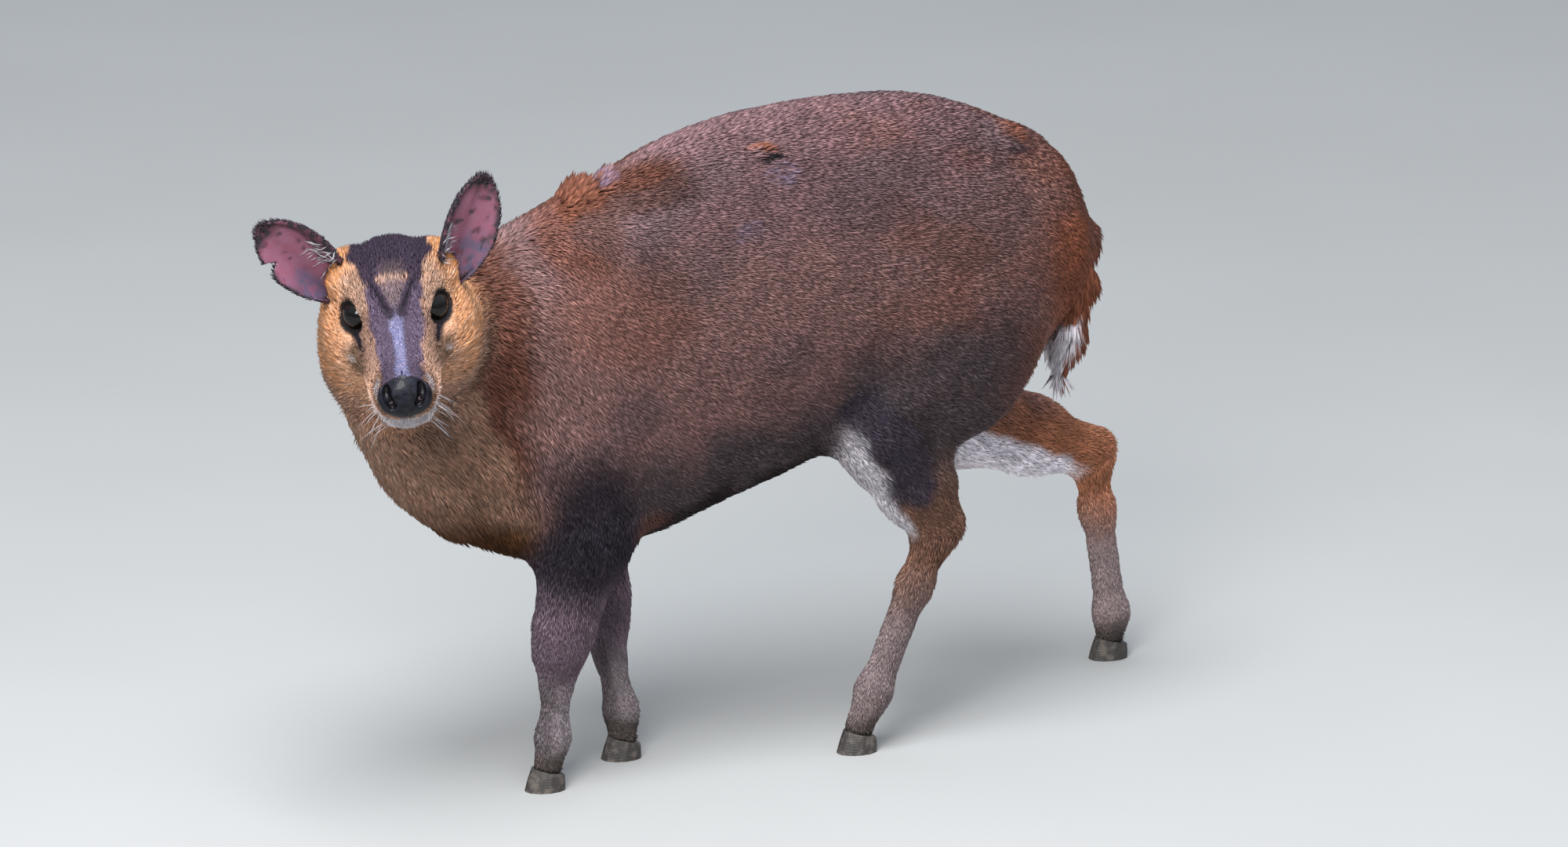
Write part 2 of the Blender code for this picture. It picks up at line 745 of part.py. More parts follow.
def make_hooves(name, side, leg, toe):
    """Trims the leg at its coronet and stands two claws under it."""
    ahead = Vector((-1, 0, 0))
    left = Vector((0, 0, 1)).cross(ahead)
    middle = Vector((toe.x, toe.y, 0)) + ahead * HOOF_LENGTH * 0.10
    rise = (HOOF_HEIGHT - HEEL_HEIGHT) / HOOF_LENGTH
    normal = ahead * rise - Vector((0, 0, 1))
    coronet = middle + Vector((0, 0, (HOOF_HEIGHT + HEEL_HEIGHT) / 2))
    trim(leg, coronet, normal)
    made = []
    for claw, way in (("inner", -side), ("outer", side)):
        corners = []
        for along, out in SOLE_SHAPE:
            for height, inset in CLAW_TAPER:
                x = along * HOOF_LENGTH * inset - HOOF_LENGTH * 0.10 * height
                y = CLEFT / 2 + CLAW_WIDTH * out * (0.55 + 0.45 * inset)
                top = (HOOF_HEIGHT + HEEL_HEIGHT) / 2 + rise * x - GAP * 1.1
                corners.append(middle + ahead * x + left * y * way + Vector((0, 0, top * height)))
        hoof = block(corners)
        bm = bmesh.new()
        bm.from_mesh(hoof.data)
        bmesh.ops.triangulate(bm, faces=bm.faces)
        bm.to_mesh(hoof.data)
        bm.free()
        hoof.name = f"hoof_{name}_{claw}"
        made.append(hoof)
    return made


def paint(obj, slot):
    material = bpy.data.materials.get(slot) or bpy.data.materials.new(slot)
    material.use_nodes = True
    shader = material.node_tree.nodes["Principled BSDF"]
    shader.inputs["Base Color"].default_value = (*COLOURS[slot], 1)
    shader.inputs["Roughness"].default_value = ROUGHNESS.get(slot, 0.8)
    shader.inputs["Metallic"].default_value = 0.0
    obj.data.materials.clear()
    obj.data.materials.append(material)


def main():
    for obj in list(bpy.data.objects):
        bpy.data.objects.remove(obj)
    slots = {}

    # The whole body, and the head again in finer mesh: a round cut lets the one meet the other.
    torso = sculpt("torso", BODY, body_field, BODY_VOXEL, BODY_TRIANGLES)
    head = sculpt("head", HEAD, head_field, HEAD_VOXEL, HEAD_TRIANGLES * 2)
    round_cuts = ((head, "INTERSECT", HEAD_REACH), (torso, "DIFFERENCE", HEAD_REACH + GAP))
    for target, operation, radius in round_cuts:
        knife = sphere("knife", on_head(*HEAD_CENTRE), radius, KNIFE_GRID)
        boolean(target, knife, operation)
        keep_largest(target)
        remove(knife)
    decimate(head, HEAD_TRIANGLES)
    keep_largest(head)

    # Neck and legs, each parted by a thin cut.
    neck = part_off(torso, "neck", *NECK_CUT)
    slots[neck] = slots[torso] = "coat"
    slots[head] = "face"
    for name, side in SIDES.items():
        near = -side
        low_y, high_y = (-0.3, -0.008) if side > 0 else (-0.008, 0.3)
        fore = [Vector(p) for p in FORE_JOINTS[name]]
        limits = ((-0.35, low_y, -0.1), (0.0, high_y, 0.3))
        armpit = (fore[0].x, 0.045 * near, 0.175)
        upper = part_off(torso, f"foreleg_{name}", armpit, (0, -0.5 * side, -0.87), limits)
        lower = part_off(upper, f"fore_cannon_{name}", fore[1] - Vector((0, 0, WRIST_CUT)), (0, 0, -1))
        slots[upper], slots[lower] = "coat", "leg"
        for hoof in make_hooves(f"fore_{name}", side, lower, fore[3]):
            slots[hoof] = "hoof"
        hind = [Vector(p) for p in HIND_JOINTS[name]]
        limits = ((0.030, low_y, -0.1), (0.45, high_y, 0.35))
        point, normal = HIND_CUTS[name]
        upper = part_off(torso, f"hindleg_{name}", point, normal, limits)
        along = (hind[3] - hind[2]).normalized()
        lower = part_off(upper, f"hind_cannon_{name}", hind[2] + along * HOCK_CUT, along)
        slots[upper], slots[lower] = "coat", "leg"
        for hoof in make_hooves(f"hind_{name}", side, lower, hind[4]):
            slots[hoof] = "hoof"

    # Tail, eyes, nose and ears.
    tail = sculpt("tail", TAIL, tail_field, TAIL_VOXEL, TAIL_TRIANGLES)
    clear_of(tail, torso)
    slots[tail] = "tail"
    for name, side in SIDES.items():
        slots[make_eye(f"eye_{name}", side, head)] = "eye"
    slots[make_nose(head)] = "nose"
    for name, (base, tip, opening) in EARS.items():
        ear = Ear(base, tip, opening)
        obj = ear.solid(f"ear_{name}")
        if name == "right":
            ear.nick(obj)
        clear_of(obj, head)
        slots[obj] = "ear"

    # Her origin goes to the floor under the middle of her bounds.
    points = np.vstack([coordinates(obj.data) for obj in slots])
    middle = (points.min(0) + points.max(0)) / 2
    middle[2] = points[:, 2].min()
    for obj, slot in slots.items():
        set_coordinates(obj.data, coordinates(obj.data) - middle)
        paint(obj, slot)
        print(obj.name, len(obj.data.polygons))
    print("origin moved to", middle)
    return -middle


SHIFT_USED = main()
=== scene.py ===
# %% [markdown]
# # A muntjac doe, dressed
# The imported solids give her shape: head, neck, trunk, legs, tail, ears, eyes, nose and hooves.
# This lesson adds the looks. One skin replaces the parts of flesh, so that no seam shows, and
# thousands of thin solid tufts lie over it along the way that her hair grows.

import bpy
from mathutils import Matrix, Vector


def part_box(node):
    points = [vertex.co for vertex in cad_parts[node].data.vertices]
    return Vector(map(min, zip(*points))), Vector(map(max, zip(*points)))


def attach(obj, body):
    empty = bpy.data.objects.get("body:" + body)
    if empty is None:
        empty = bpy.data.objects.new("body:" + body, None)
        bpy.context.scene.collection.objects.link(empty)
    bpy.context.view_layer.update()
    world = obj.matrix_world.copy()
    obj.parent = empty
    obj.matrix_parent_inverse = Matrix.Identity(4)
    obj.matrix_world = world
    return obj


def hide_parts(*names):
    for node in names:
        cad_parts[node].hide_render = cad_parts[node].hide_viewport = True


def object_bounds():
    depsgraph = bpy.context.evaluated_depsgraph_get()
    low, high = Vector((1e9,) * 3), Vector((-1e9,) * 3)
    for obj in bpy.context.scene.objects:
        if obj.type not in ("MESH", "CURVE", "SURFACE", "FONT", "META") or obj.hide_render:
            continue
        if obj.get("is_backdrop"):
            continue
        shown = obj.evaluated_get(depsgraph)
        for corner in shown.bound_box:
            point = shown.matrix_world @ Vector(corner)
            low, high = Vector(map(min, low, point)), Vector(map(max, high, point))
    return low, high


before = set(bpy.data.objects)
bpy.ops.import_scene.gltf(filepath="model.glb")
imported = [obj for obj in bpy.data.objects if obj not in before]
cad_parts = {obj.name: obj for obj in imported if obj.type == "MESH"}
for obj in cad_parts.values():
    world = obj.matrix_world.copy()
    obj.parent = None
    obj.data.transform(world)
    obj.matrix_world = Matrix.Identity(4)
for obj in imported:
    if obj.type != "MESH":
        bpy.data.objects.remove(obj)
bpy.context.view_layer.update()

# %% Modules
import math

import bmesh
import bpy
import numpy as np
from mathutils import Vector
from mathutils.bvhtree import BVHTree

# %% [markdown]
# ## Where things are
# Her head is turned, dropped and tilted, so its lids, slits and markings are easier to place in
# a frame of its own: forward to the nose, left, and up to the crown. The eyeballs, which are
# solids of the frame, say where that frame lies. Landmarks of the body are written in metres
# from a point of the floor below her middle, which follows from the same eyeballs.

# %% The head's own frame
HEAD_TURN = 74.5      # degrees from straight ahead, to her left
HEAD_DROP = 28.0      # degrees that the nose points below level
HEAD_TILT = 7.0       # degrees that her left eye is raised
EYE_SETBACK = 0.003   # from the head frame's origin back to the eyeballs' middle


def middle_of(node):
    low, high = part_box(node)
    return (low + high) / 2


def head_axes():
    turn, drop, tilt = (math.radians(a) for a in (HEAD_TURN, HEAD_DROP, HEAD_TILT))
    level = Vector((-math.cos(turn), -math.sin(turn), 0))
    nose = level * math.cos(drop) - Vector((0, 0, math.sin(drop)))
    left = Vector((0, 0, 1)).cross(level).normalized()
    crown = nose.cross(left)
    raised = left * math.cos(tilt) + crown * math.sin(tilt)
    return nose, raised, nose.cross(raised)


NOSE, LEFT, CROWN = head_axes()
HEAD_ROWS = np.array((NOSE, LEFT, CROWN))
HEAD_AT = np.array((middle_of("eye_left") + middle_of("eye_right")) / 2 + NOSE * EYE_SETBACK)


def on_head(forward, left, up):
    return HEAD_AT + np.array((forward, left, up)) @ HEAD_ROWS


def in_head(points):
    return (points - HEAD_AT) @ HEAD_ROWS.T


print("the head's frame is at", HEAD_AT.round(4))

# %% The body's own frame
HEAD_FROM_BODY = np.array((-0.312, -0.110, 0.393))
BODY_AT = HEAD_AT - HEAD_FROM_BODY


def at(x, y, z):
    return BODY_AT + np.array((x, y, z))


def in_body(points):
    return points - BODY_AT


print("the body's frame is at", BODY_AT.round(4))

# %% Small numeric helpers
def smooth(value, start, end):
    """0 before start, 1 after end, and a soft step between them. start may be the larger one."""
    t = np.clip((value - start) / (end - start), 0, 1)
    return t * t * (3 - 2 * t)


def unit(vectors):
    return vectors / np.maximum(np.linalg.norm(vectors, axis=-1, keepdims=True), 1e-9)


def line_distance(points, a, b):
    """The distance of points from the segment a-b, and how far along it they are, from 0 to 1."""
    along = np.subtract(b, a)
    share = np.clip((points - a) @ along / (along @ along), 0, 1)
    return np.linalg.norm(points - a - share[:, None] * along, axis=1), share


def path_distance(points, path):
    """The distance of points from a line through several places."""
    return np.min([line_distance(points, np.array(a), np.array(b))[0] for a, b in zip(path, path[1:])], axis=0)


def blob(points, centre, radii, soft=0.35):
    """1 inside an ellipsoid, fading to 0 over a soft rim."""
    reach = np.linalg.norm((points - np.array(centre)) / np.array(radii), axis=1)
    return smooth(reach, 1 + soft, 1 - soft)


def ripple(points, size, seed, count=9):
    """A smooth random pattern from -1 to 1, whose waves are about `size` long."""
    draw = np.random.default_rng(seed)
    waves = unit(draw.normal(size=(count, 3))) * (2 * math.pi / size) * draw.uniform(0.6, 1.5, (count, 1))
    return np.sin(points @ waves.T + draw.uniform(0, 2 * math.pi, count)).mean(1) * 1.8


def mixed(a, b, share):
    return a + (b - a) * share[:, None]


# %% [markdown]
# ## The skin
# The nodes of flesh are closed solids that nearly touch. Swelling each by less than a millimetre
# makes them overlap, and a voxel remesh turns the heap into one closed surface of even quads.
# The head needs lids, slits and lips, so its faces are divided again, brought back onto the
# exact solids, and then shaped by displacement. The solids are as large as the coat's tips,
# and so the skin is drawn in by the coat's depth.

# %% Reading and writing meshes as arrays
def read(items, name, kind=np.float32, width=3):
    found = np.empty(len(items) * width, kind)
    items.foreach_get(name, found)
    return found.reshape(-1, width) if width > 1 else found


def places_of(mesh):
    return read(mesh.vertices, "co").astype(float)


def place(mesh, points):
    mesh.vertices.foreach_set("co", points.astype(np.float32).ravel())
    mesh.update()


def normals_of(mesh):
    return read(mesh.vertex_normals, "vector").astype(float)


def triangles_of(mesh):
    mesh.calc_loop_triangles()
    return read(mesh.loop_triangles, "vertices", np.int32)


def paint_points(mesh, colours):
    """Stores a colour at each point, under the name that the finishes read."""
    paint = mesh.color_attributes.new("coat_colour", "FLOAT_COLOR", "POINT")
    paint.data.foreach_set("color", np.c_[colours, np.ones(len(colours))].astype(np.float32).ravel())


def store(mesh, label, values):
    """Stores a number at each point for a finish to read."""
    mesh.attributes.new(label, "FLOAT", "POINT").data.foreach_set("value", values.astype(np.float32))


def welded(nodes, grow=0.0):
    """One mesh with a copy of each of these nodes, swollen by `grow`."""
    whole = bmesh.new()
    for node in nodes:
        part = bmesh.new()
        part.from_mesh(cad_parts[node].data)
        bmesh.ops.remove_doubles(part, verts=part.verts, dist=1e-6)
        part.normal_update()
        for v in part.verts:
            v.co += v.normal * grow
        copy = bpy.data.meshes.new(node)
        part.to_mesh(copy)
        part.free()
        whole.from_mesh(copy)
        bpy.data.meshes.remove(copy)
    return whole


def new_object(name, bm):
    mesh = bpy.data.meshes.new(name)
    bm.to_mesh(mesh)
    bm.free()
    obj = bpy.data.objects.new(name, mesh)
    bpy.context.scene.collection.objects.link(obj)
    return obj


def with_modifier(obj, kind, **settings):
    """Adds a modifier and puts its result in place of the mesh."""
    modifier = obj.modifiers.new(kind, kind)
    for name, value in settings.items():
        setattr(modifier, name, value)
    graph = bpy.context.evaluated_depsgraph_get()
    made = bpy.data.meshes.new_from_object(obj.evaluated_get(graph))
    obj.modifiers.clear()
    old, obj.data = obj.data, made
    bpy.data.meshes.remove(old)


# %% One closed surface
LEG_PARTS = ("foreleg", "fore_cannon", "hindleg", "hind_cannon")
LEGS = [f"{part}_{side}" for part in LEG_PARTS for side in ("left", "right")]
EYES = ["eye_left", "eye_right"]
FLESH = ["torso", "neck", "head", "nose", "tail", *LEGS]
SKIN_VOXEL = 0.0030
SWELL = 0.0004

skin = new_object("skin", welded(FLESH + EYES, SWELL))
with_modifier(skin, "REMESH", mode="VOXEL", voxel_size=SKIN_VOXEL)
print("skin:", len(skin.data.polygons), "faces after the remesh")


# %% Only the outermost surface, and finer faces on the head
FACE_AT = on_head(0.022, 0, -0.012)
FACE_REACH = 0.074
HEAD_REACH = 0.105


def keep_largest(bm):
    left, shells = set(bm.faces), []
    while left:
        front = [left.pop()]
        shell = list(front)
        while front:
            near = {f for e in front.pop().edges for f in e.link_faces} & left
            left -= near
            front += near
            shell += near
        shells.append(shell)
    shells.sort(key=len)
    bmesh.ops.delete(bm, geom=[f for shell in shells[:-1] for f in shell], context="FACES")


def refine(bm, centre, reach):
    centre = Vector(centre)
    edges = {e for f in bm.faces if (f.calc_center_median() - centre).length < reach for e in f.edges}
    bmesh.ops.subdivide_edges(bm, edges=list(edges), cuts=1, use_grid_fill=True)


bm = bmesh.new()
bm.from_mesh(skin.data)
keep_largest(bm)
refine(bm, FACE_AT, HEAD_REACH)
refine(bm, FACE_AT, FACE_REACH)
bmesh.ops.triangulate(bm, faces=bm.faces)
bm.to_mesh(skin.data)
bm.free()
print("skin:", len(skin.data.polygons), "triangles with the finer head")


# %% Back onto the solids, and smooth
def neighbours_of(mesh):
    ends = read(mesh.edges, "vertices", np.int32, 2)
    ends = np.vstack([ends, ends[:, ::-1]])
    return ends, np.bincount(ends[:, 0], minlength=len(mesh.vertices))[:, None]


def relax(points, ends, count, weight, rounds):
    """Evens the surface out without shrinking it: each round pulls in, then pushes out a little more."""
    for _ in range(rounds):
        for pull in (0.50, -0.52):
            total = np.stack([np.bincount(ends[:, 0], points[ends[:, 1], k], len(points)) for k in range(3)], 1)
            points = points + pull * weight * (total / count - points)
    return points


exact = welded(["head", "nose", *EYES])
exact_tree = BVHTree.FromBMesh(exact)
exact.free()
points = places_of(skin.data)
reach = np.linalg.norm(points - FACE_AT, axis=1)
for i in np.flatnonzero(reach < HEAD_REACH):
    spot, _, _, far = exact_tree.find_nearest(points[i])
    if far < SKIN_VOXEL:
        points[i] = spot
ends, count = neighbours_of(skin.data)
points = relax(points, ends, count, np.ones((len(points), 1)), 6)
place(skin.data, points)
print("skin: settled on the solids")

# %% [markdown]
# ## The coat's depth
# Deer hair is short on the muzzle and legs, longer on the back and neck, and longest on the
# tail. The same masks of the body later help give the tufts their length, and here a few numbers
# say how deep the skin lies under the tips. They change smoothly from one part of the body to the next.

# %% Parts of the body as soft masks
HEAD_CENTRE = (-0.010, 0, -0.020)
TAIL_LINE = ((0.262, 0, 0.352), (0.256, 0, 0.300), (0.251, 0, 0.256))
LEG_BONES = {
    "fore_left": (
        (-0.150, -0.053, 0.190), (-0.1670, -0.0470, 0.104), (-0.1700, -0.0420, 0.040), (-0.1745, -0.0405, 0.016),
    ),
    "fore_right": (
        (-0.112, 0.048, 0.186), (-0.1050, 0.0240, 0.102), (-0.0960, 0.0120, 0.036), (-0.0960, 0.0090, 0.014),
    ),
    "hind_left": (
        (0.090, -0.056, 0.246), (0.1310, -0.0480, 0.168), (0.0825, -0.0440, 0.046), (0.0710, -0.0425, 0.018),
    ),
    "hind_right": (
        (0.190, 0.062, 0.220), (0.3110, 0.0820, 0.170), (0.3360, 0.0960, 0.038), (0.3375, 0.1010, 0.014),
    ),
}


def masks(points):
    """How much of each part a point belongs to: head, tail, leg, shank, neck."""
    head, body = in_head(points), in_body(points)
    off = head - np.array(HEAD_CENTRE)
    off[:, 0] *= np.where(off[:, 0] > 0, 0.60, 1.0)
    found = {"head": smooth(np.linalg.norm(off, axis=1), 0.092, 0.066)}
    far = path_distance(body, TAIL_LINE)
    found["tail"] = smooth(far, 0.030, 0.022) * smooth(body[:, 0], 0.236, 0.246) * smooth(body[:, 2], 0.372, 0.350)
    legs = [path_distance(body, bones) for bones in LEG_BONES.values()]
    found["leg"] = smooth(np.min(legs, axis=0), 0.062, 0.030) * smooth(body[:, 2], 0.255, 0.190)
    found["shank"] = found["leg"] * smooth(body[:, 2], 0.150, 0.105)
    found["neck"] = smooth(body[:, 0], -0.150, -0.215) * (1 - found["head"]) * (1 - found["leg"])
    return found


# %% The outline of the nose pad
NOSE_FACING = np.array((0.904, 0, 0.428))
NOSE_UP = np.array((-0.428, 0, 0.904))
NOSE_FROM = 0.0690          # how far along NOSE_FACING the pad's rim lies
PAD_TOP, PAD_BOTTOM = -0.0235, -0.0600
PAD_WIDTH = 0.0192
BESIDE_REACH = 8.0          # the share at which the strip beside the pad ends
FAR_OUTSIDE = 9.0           # a share that stands for "nowhere near"


def pad_share(head):
    """Below 1 on the nose pad, whose outline is narrow above, widest at the nostrils and pointed below."""
    down = (PAD_TOP - head @ NOSE_UP) / (PAD_TOP - PAD_BOTTOM)
    width = PAD_WIDTH * np.sin(math.pi * np.clip(down, 0, 1) ** 0.85) ** 0.8
    share = np.abs(head[:, 1]) / np.maximum(width, 0.0004)
    return np.where(head @ NOSE_FACING > NOSE_FROM - 0.003, share, FAR_OUTSIDE)


# %% How deep the skin lies under the tips
SKIN_DEPTH = {
    "body": 0.0042, "neck": 0.0050, "tail": 0.0050, "leg": 0.0026, "shank": 0.0014,
    "head": 0.0024, "muzzle": 0.0011,
}
UNDER_PAD, BESIDE_PAD = 0.0030, 0.0002


def coat_depth(points, parts):
    head = in_head(points)
    depth = np.full(len(points), SKIN_DEPTH["body"])
    for name in ("neck", "tail", "leg", "shank", "head"):
        depth += (SKIN_DEPTH[name] - depth) * parts[name]
    muzzle = parts["head"] * smooth(head[:, 0], 0.000, 0.040)
    depth += (SKIN_DEPTH["muzzle"] - depth) * muzzle
    # Under the nose pad the skin goes deep, and round the pad it covers the rest of the nose's solid.
    share = pad_share(head)
    depth += (UNDER_PAD - depth) * smooth(share, 1.06, 0.92)
    return depth + (BESIDE_PAD - depth) * smooth(share, 1.06, 1.20) * (share < BESIDE_REACH)


parts = masks(points)
points -= normals_of(skin.data) * coat_depth(points, parts)[:, None]
place(skin.data, points)
print("skin: drawn in by", (SKIN_DEPTH["muzzle"], SKIN_DEPTH["neck"]), "m")

# %% [markdown]
# ## Lids, scent slits, mouth
# Around each eye the skin follows the eyeball: inside the opening it dives under the ball's
# surface, and at the rim it rises into lids. A muntjac has two pairs of scent glands on its
# face: a slit below the inner corner of each eye, and two ridges that meet as a V on the
# forehead. The mouth is a line under the nose that runs back and a little down.

# %% The eyes' frames
EYE_LOOKS = (0.70, 0.64, 0.31)
EYE_OPENING = 0.0092        # half the height between the lids
EYE_STRETCH = 1.12          # how much longer the opening is than high
EYE_RADIUS = (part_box("eye_left")[1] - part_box("eye_left")[0])[2] / 2
SIDES = {"left": 1, "right": -1}


def eye_frame(side):
    """The eyeball's centre, and rows that point where it looks, along the lids and across them."""
    centre = np.array(middle_of("eye_left" if side > 0 else "eye_right"))
    looks = unit(np.array((EYE_LOOKS[0], EYE_LOOKS[1] * side, EYE_LOOKS[2]))) @ HEAD_ROWS
    along = unit(np.array(NOSE) - looks * (looks @ np.array(NOSE)))
    across = np.cross(looks, along) * side
    return centre, np.array((looks, along, across))


def in_opening(points, side):
    """How far points are from the line of sight, as a share of the opening, and where they lie."""
    centre, rows = eye_frame(side)
    local = (points - centre) @ rows.T
    share = np.hypot(local[:, 1] / EYE_STRETCH, local[:, 2]) / EYE_OPENING
    return np.where(local[:, 0] > 0, share, FAR_OUTSIDE), local


# %% Lids
LID_HEIGHT = 0.0017
UNDER_EYE = 0.0014


def shape_lids(points, side):
    share, local = in_opening(points, side)
    centre, _ = eye_frame(side)
    reach = np.linalg.norm(local, axis=1)
    rim = EYE_RADIUS + LID_HEIGHT * smooth(share, 0.95, 1.15) * smooth(share, 1.75, 1.30)
    rim += 0.0006 * smooth(local[:, 2], 0.001, 0.006) * smooth(share, 0.95, 1.15) * smooth(share, 1.9, 1.30)
    wanted = np.where(share < 1.75, np.maximum(reach, rim), reach)
    under = smooth(share, 1.06, 0.94)
    wanted = wanted + (EYE_RADIUS - UNDER_EYE - wanted) * under
    near = (share < 1.9) & (reach < 0.024) & (reach > 0.001)
    moved = centre + (points - centre) * (wanted / np.maximum(reach, 1e-6))[:, None]
    return np.where(near[:, None], moved, points)


for side in SIDES.values():
    points = shape_lids(points, side)
place(skin.data, points)
print("lids: shaped round eyeballs of", round(EYE_RADIUS * 1000, 2), "mm radius")

# %% Slits, ridges and the mouth's line
GROOVES = {
    # Path in the head's frame, half width, depth.
    "scent slit": (
        ((0.0130, 0.0310, -0.0030), (0.0205, 0.0290, -0.0040), (0.0280, 0.0265, -0.0070)), 0.0017, 0.0024,
    ),
    "forehead slit": (
        ((-0.0080, 0.0178, 0.0258), (0.0100, 0.0114, 0.0252), (0.0240, 0.0050, 0.0224)), 0.0014, 0.0014,
    ),
    "lips": (
        ((0.0790, 0.0010, -0.0330), (0.0640, 0.0165, -0.0330), (0.0400, 0.0260, -0.0355)), 0.0012, 0.0014,
    ),
}


def groove_share(points, name, side):
    path, half_width, _ = GROOVES[name]
    return path_distance(points, [(f, left * side, up) for f, left, up in path]) / half_width


def carve_grooves(points, normals):
    head = in_head(points)
    for name, (_, _, depth) in GROOVES.items():
        for side in SIDES.values():
            share = groove_share(head, name, side)
            hollow = depth * smooth(share, 1.4, 0.2)
            ridge = 0.35 * depth * smooth(share, 1.2, 1.9) * smooth(share, 3.2, 2.2)
            points = points + normals * (ridge - hollow)[:, None]
    return points


points = carve_grooves(points, normals_of(skin.data))
fine = smooth(np.linalg.norm(points - FACE_AT, axis=1), HEAD_REACH, FACE_REACH)[:, None]
points = relax(points, ends, count, 0.5 + 0.5 * (1 - fine), 2)
place(skin.data, points)
skin.data.shade_smooth()
print("face: carved", ", ".join(GROOVES))

# %% [markdown]
# ## The markings
# Skin and coat share one set of markings, worked out from a place on the body: a chestnut
# saddle that darkens to the belly, near-black shoulders and thigh stripes, an orange neck and
# face, a charcoal crown that narrows into the forehead's V, a slate bridge of the nose, and
# white on chin, tail and the inside of the hind legs. Each is a soft mask with a rippled edge.

# %% Colours of the coat, linear
CHESTNUT = np.array((0.200, 0.115, 0.110))
PLUM = np.array((0.160, 0.094, 0.100))
RUMP_BROWN = np.array((0.215, 0.115, 0.105))
RUST = np.array((0.215, 0.075, 0.042))
UMBER = np.array((0.088, 0.070, 0.078))
SOOT = np.array((0.026, 0.021, 0.031))
BELLY_BROWN = np.array((0.018, 0.011, 0.011))
NECK_BROWN = np.array((0.130, 0.054, 0.038))
FAWN = np.array((0.285, 0.170, 0.122))
BRISKET_BROWN = np.array((0.095, 0.042, 0.018))
CHEEK = np.array((0.600, 0.330, 0.200))
ORANGE = np.array((0.590, 0.250, 0.088))
APRICOT = np.array((0.270, 0.160, 0.110))
RUFFLED = np.array((0.110, 0.066, 0.044))
CHARCOAL = np.array((0.034, 0.023, 0.039))
SLATE = np.array((0.075, 0.054, 0.085))
SILVER = np.array((0.165, 0.175, 0.330))
TAN = np.array((0.185, 0.130, 0.120))
WHITE = np.array((0.620, 0.600, 0.660))
CREAM = np.array((0.640, 0.500, 0.420))
PLUM_GREY = np.array((0.165, 0.125, 0.170))
ASH = np.array((0.245, 0.210, 0.225))
HOCK_ORANGE = np.array((0.400, 0.175, 0.100))
MUD = np.array((0.110, 0.090, 0.084))
BLACK = np.array((0.007, 0.006, 0.008))



def patched(colour, places, *patches, broken=1.0):
    """Lays soft patches over a colour: each is a paint, its share, whether it is broken up, centre and radii."""
    for paint, share, breaks, centre, radii, *soft in patches:
        where = share * (broken if breaks else 1.0) * blob(places, centre, radii, *soft)
        colour = mixed(colour, paint, where)
    return colour


# %% Trunk and neck
# The underline, for the dark of the belly: places along the trunk and its lowest height there.
BELLY_LINE = ((-0.130, -0.030, 0.030, 0.080, 0.120, 0.160), (0.165, 0.193, 0.214, 0.237, 0.253, 0.263))
THIGH_STRIPE = ((0.058, 0.078, 0.272), (0.086, 0.080, 0.240), (0.100, 0.072, 0.212))


def body_colour(body):
    """The trunk, from a place in the body's frame."""
    x, y, z = body.T
    wide = np.c_[x, np.abs(y), z]
    wave = 0.012 * ripple(body, 0.05, 3)
    colour = np.tile(CHESTNUT, (len(body), 1))
    colour = mixed(colour, PLUM, smooth(z + wave, 0.375, 0.440))
    colour = mixed(colour, RUMP_BROWN, smooth(x, 0.08, 0.17) * smooth(z + wave, 0.46, 0.41))
    # Rust shows on the withers, over the shoulder, behind the elbow and down the rump.
    colour = patched(
        colour, wide,
        (RUST * 0.40, 0.90, False, (-0.105, 0.030, 0.445), (0.048, 0.028, 0.020)),
        (RUST * 0.60, 0.70, False, (-0.150, 0.030, 0.415), (0.032, 0.050, 0.030)),
        (RUST, 0.35, False, (-0.125, 0.080, 0.365), (0.055, 0.060, 0.040)),
    )
    colour = mixed(colour, RUST, 0.85 * smooth(x + wave, 0.225, 0.258) * smooth(z, 0.30, 0.33))
    colour = patched(colour, wide, (RUST * 1.1, 0.95, False, (0.242, 0.040, 0.350), (0.036, 0.050, 0.062), 0.6))
    mottle = smooth(ripple(body, 0.070, 13), 0.0, 0.5)
    colour = mixed(colour, RUST * 0.9, 0.40 * mottle * smooth(x, 0.02, 0.14))
    colour = mixed(colour, UMBER * 0.9, 0.35 * smooth(ripple(body, 0.090, 14), 0.0, 0.5))
    # The lower flank is umber and the underline is nearly black.
    height = z - np.interp(x, *BELLY_LINE) + wave
    trunk = smooth(x, -0.19, -0.14) * smooth(x, 0.21, 0.15)
    colour = mixed(colour, UMBER, 0.90 * trunk * smooth(height, 0.105, 0.050))
    colour = mixed(colour, BELLY_BROWN, trunk * smooth(x, 0.125, 0.085) * smooth(height, 0.042, 0.014))
    colour = patched(colour, wide, (RUST, 0.50, False, (-0.102, 0.070, 0.192), (0.026, 0.030, 0.018)))
    return ruffles_shadow_and_highlight(colour, body)


